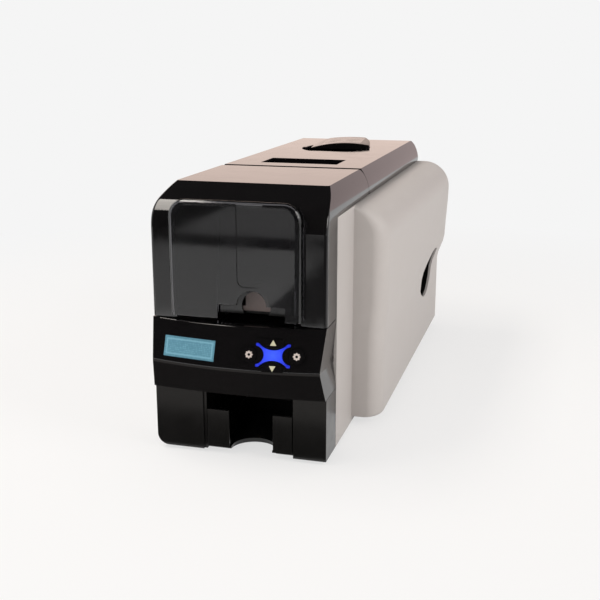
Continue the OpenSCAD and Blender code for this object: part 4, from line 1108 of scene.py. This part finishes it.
world = bpy.data.worlds.new("studio")
bpy.context.scene.world = world
world.use_nodes = True
world.node_tree.nodes.clear()
air = world.node_tree
ambient = node(air, "Background", {"Color": linear("#fffaf6"), "Strength": 0.5})
backdrop = node(air, "Background", {"Color": BACKGROUND, "Strength": 1})
sky = node(air, "MixShader")
air.links.new(ray_share(air), sky.inputs[0])
air.links.new(ambient.outputs[0], sky.inputs[1])
air.links.new(backdrop.outputs[0], sky.inputs[2])
node(air, "OutputWorld", {}, {"Surface": sky.outputs[0]})

deselect()
bpy.ops.mesh.primitive_plane_add(size=1, location=(0, 1.8, 0))
floor = bpy.context.object
floor.name = "floor"
floor.scale = (9, 6.4, 1)
bpy.ops.object.transform_apply(location=True, rotation=True, scale=True)
floor_paper, paper = new_tree("pale_floor")
place = node(paper, "TexCoord").outputs["Object"]
away = node(paper, "VectorMath", {}, {0: place}, operation="LENGTH")
far = node(
    paper, "MapRange", {"From Min": 0.35, "From Max": 0.95, "To Min": 0.7, "To Max": 1},
    {"Value": away.outputs["Value"]},
)
share = node(
    paper, "Math", {}, {0: far.outputs["Result"], 1: ray_share(paper)}, operation="MULTIPLY"
)
matt = node(paper, "BsdfDiffuse", {"Color": BACKGROUND})
glow = node(paper, "Emission", {"Color": BACKGROUND, "Strength": 1})
mix = node(
    paper, "MixShader", {}, {0: share.outputs["Value"], 1: matt.outputs[0], 2: glow.outputs[0]}
)
node(paper, "OutputMaterial", {}, {"Surface": mix.outputs[0]})
dress(floor, floor_paper)

def hung(name, x, y, z, colour, glow):
    """A glowing sheet that spans x, and y or z, and that only gloss sees"""
    deselect()
    upright = y[0] == y[1]
    bpy.ops.mesh.primitive_plane_add(
        size=1,
        location=((x[0] + x[1]) / 2, (y[0] + y[1]) / 2, (z[0] + z[1]) / 2),
        rotation=(math.pi / 2 if upright else 0, 0, 0),
    )
    sheet = bpy.context.object
    sheet.name = name
    sheet.scale = (x[1] - x[0], z[1] - z[0] if upright else y[1] - y[0], 1)
    bpy.ops.object.transform_apply(location=True, rotation=True, scale=True)
    finish, tree = new_tree(name + "_cloth")
    skin = node(tree, "Emission", {"Color": linear(colour), "Strength": glow})
    node(tree, "OutputMaterial", {}, {"Surface": skin.outputs[0]})
    dress(sheet, finish)
    for ray in ("camera", "diffuse", "transmission", "volume_scatter", "shadow"):
        setattr(sheet, "visible_" + ray, False)


# Sheets for the gloss to reflect, in metres. The polished front sees the floor in front of it:
# dark far off to the left, with a dark line and two lighter bands in between
ON_FLOOR = (0.001, 0.001)
hung("dark_floor_left", (-3, -0.46), (-1.6, -0.98), ON_FLOOR, "#ffffff", 0.03)
hung("dark_floor_line", (-0.46, -0.12), (-1.16, -1.06), ON_FLOOR, "#ffffff", 0.03)
hung("grey_floor_line", (-0.46, -0.12), (-1.6, -1.16), ON_FLOOR, "#ffffff", 0.6)
hung("grey_floor_near", (-0.5, 0.3), (-0.53, -0.3), ON_FLOOR, "#fff8f2", 0.45)
hung("dark_floor_near", (-0.5, 0.3), (-0.3, -0.222), ON_FLOOR, "#fff8f2", 0.08)
hung("bright_floor_line", (-0.5, 0.2), (-0.6, -0.53), (0.0015, 0.0015), "#ffffff", 2.5)
hung("dark_floor_right", (-0.12, 1.2), (-1.6, -0.45), ON_FLOOR, "#ffffff", 0.12)
# The slope and the upper edges see the wall in front and the ceiling, both dark
hung("dark_wall", (-3, 3), (-1.6, -1.6), (0, 2.6), "#ffffff", 0.03)
hung("dark_ceiling", (-3, 3), (-1.6, 3.3), (2.6, 2.6), "#ffffff", 0.03)
# The top sees the wall behind it at a flat angle: warm and bright to the left, greyer to the right
hung("dark_rear", (-3, 3), (3.3, 3.3), (1.4, 2.6), "#ffffff", 0.03)
hung("warm_card", (-3, -0.05), (3.3, 3.3), (0, 1.4), "#ffe7db", 1.2)
hung("grey_card", (-0.05, 3), (3.3, 3.3), (0, 1.4), "#ffe9e7", 0.75)


def softbox(name, place, target, size, power, colour, height=None):
    """An area lamp at place that faces target, size metres wide"""
    deselect()
    turn = (Vector(target) - Vector(place)).to_track_quat("-Z", "Y").to_euler()
    bpy.ops.object.light_add(type="AREA", location=place, rotation=turn)
    lamp = bpy.context.object
    lamp.name = name
    lamp.data.shape = "RECTANGLE"
    lamp.data.size = size
    lamp.data.size_y = height or size
    lamp.data.energy = power
    lamp.data.color = linear(colour)[:3]
    lamp.visible_camera = False
    return lamp


softbox("key", (-1.2, -0.45, 2.2), (-1.2, -0.449, 0), 0.8, 37, "#fff8f0", 1.9)
softbox("side", (1.9, -0.5, 1.1), (0, 0, 0.1), 1.2, 17, "#fffaf6")
# Lights the forward edges of the grey panels, and leaves no mark in the gloss
fill = softbox("front_fill", (-0.5, -2.0, 0.7), (0, -0.2, 0.1), 1.0, 11, "#fffaf6")
fill.visible_glossy = False
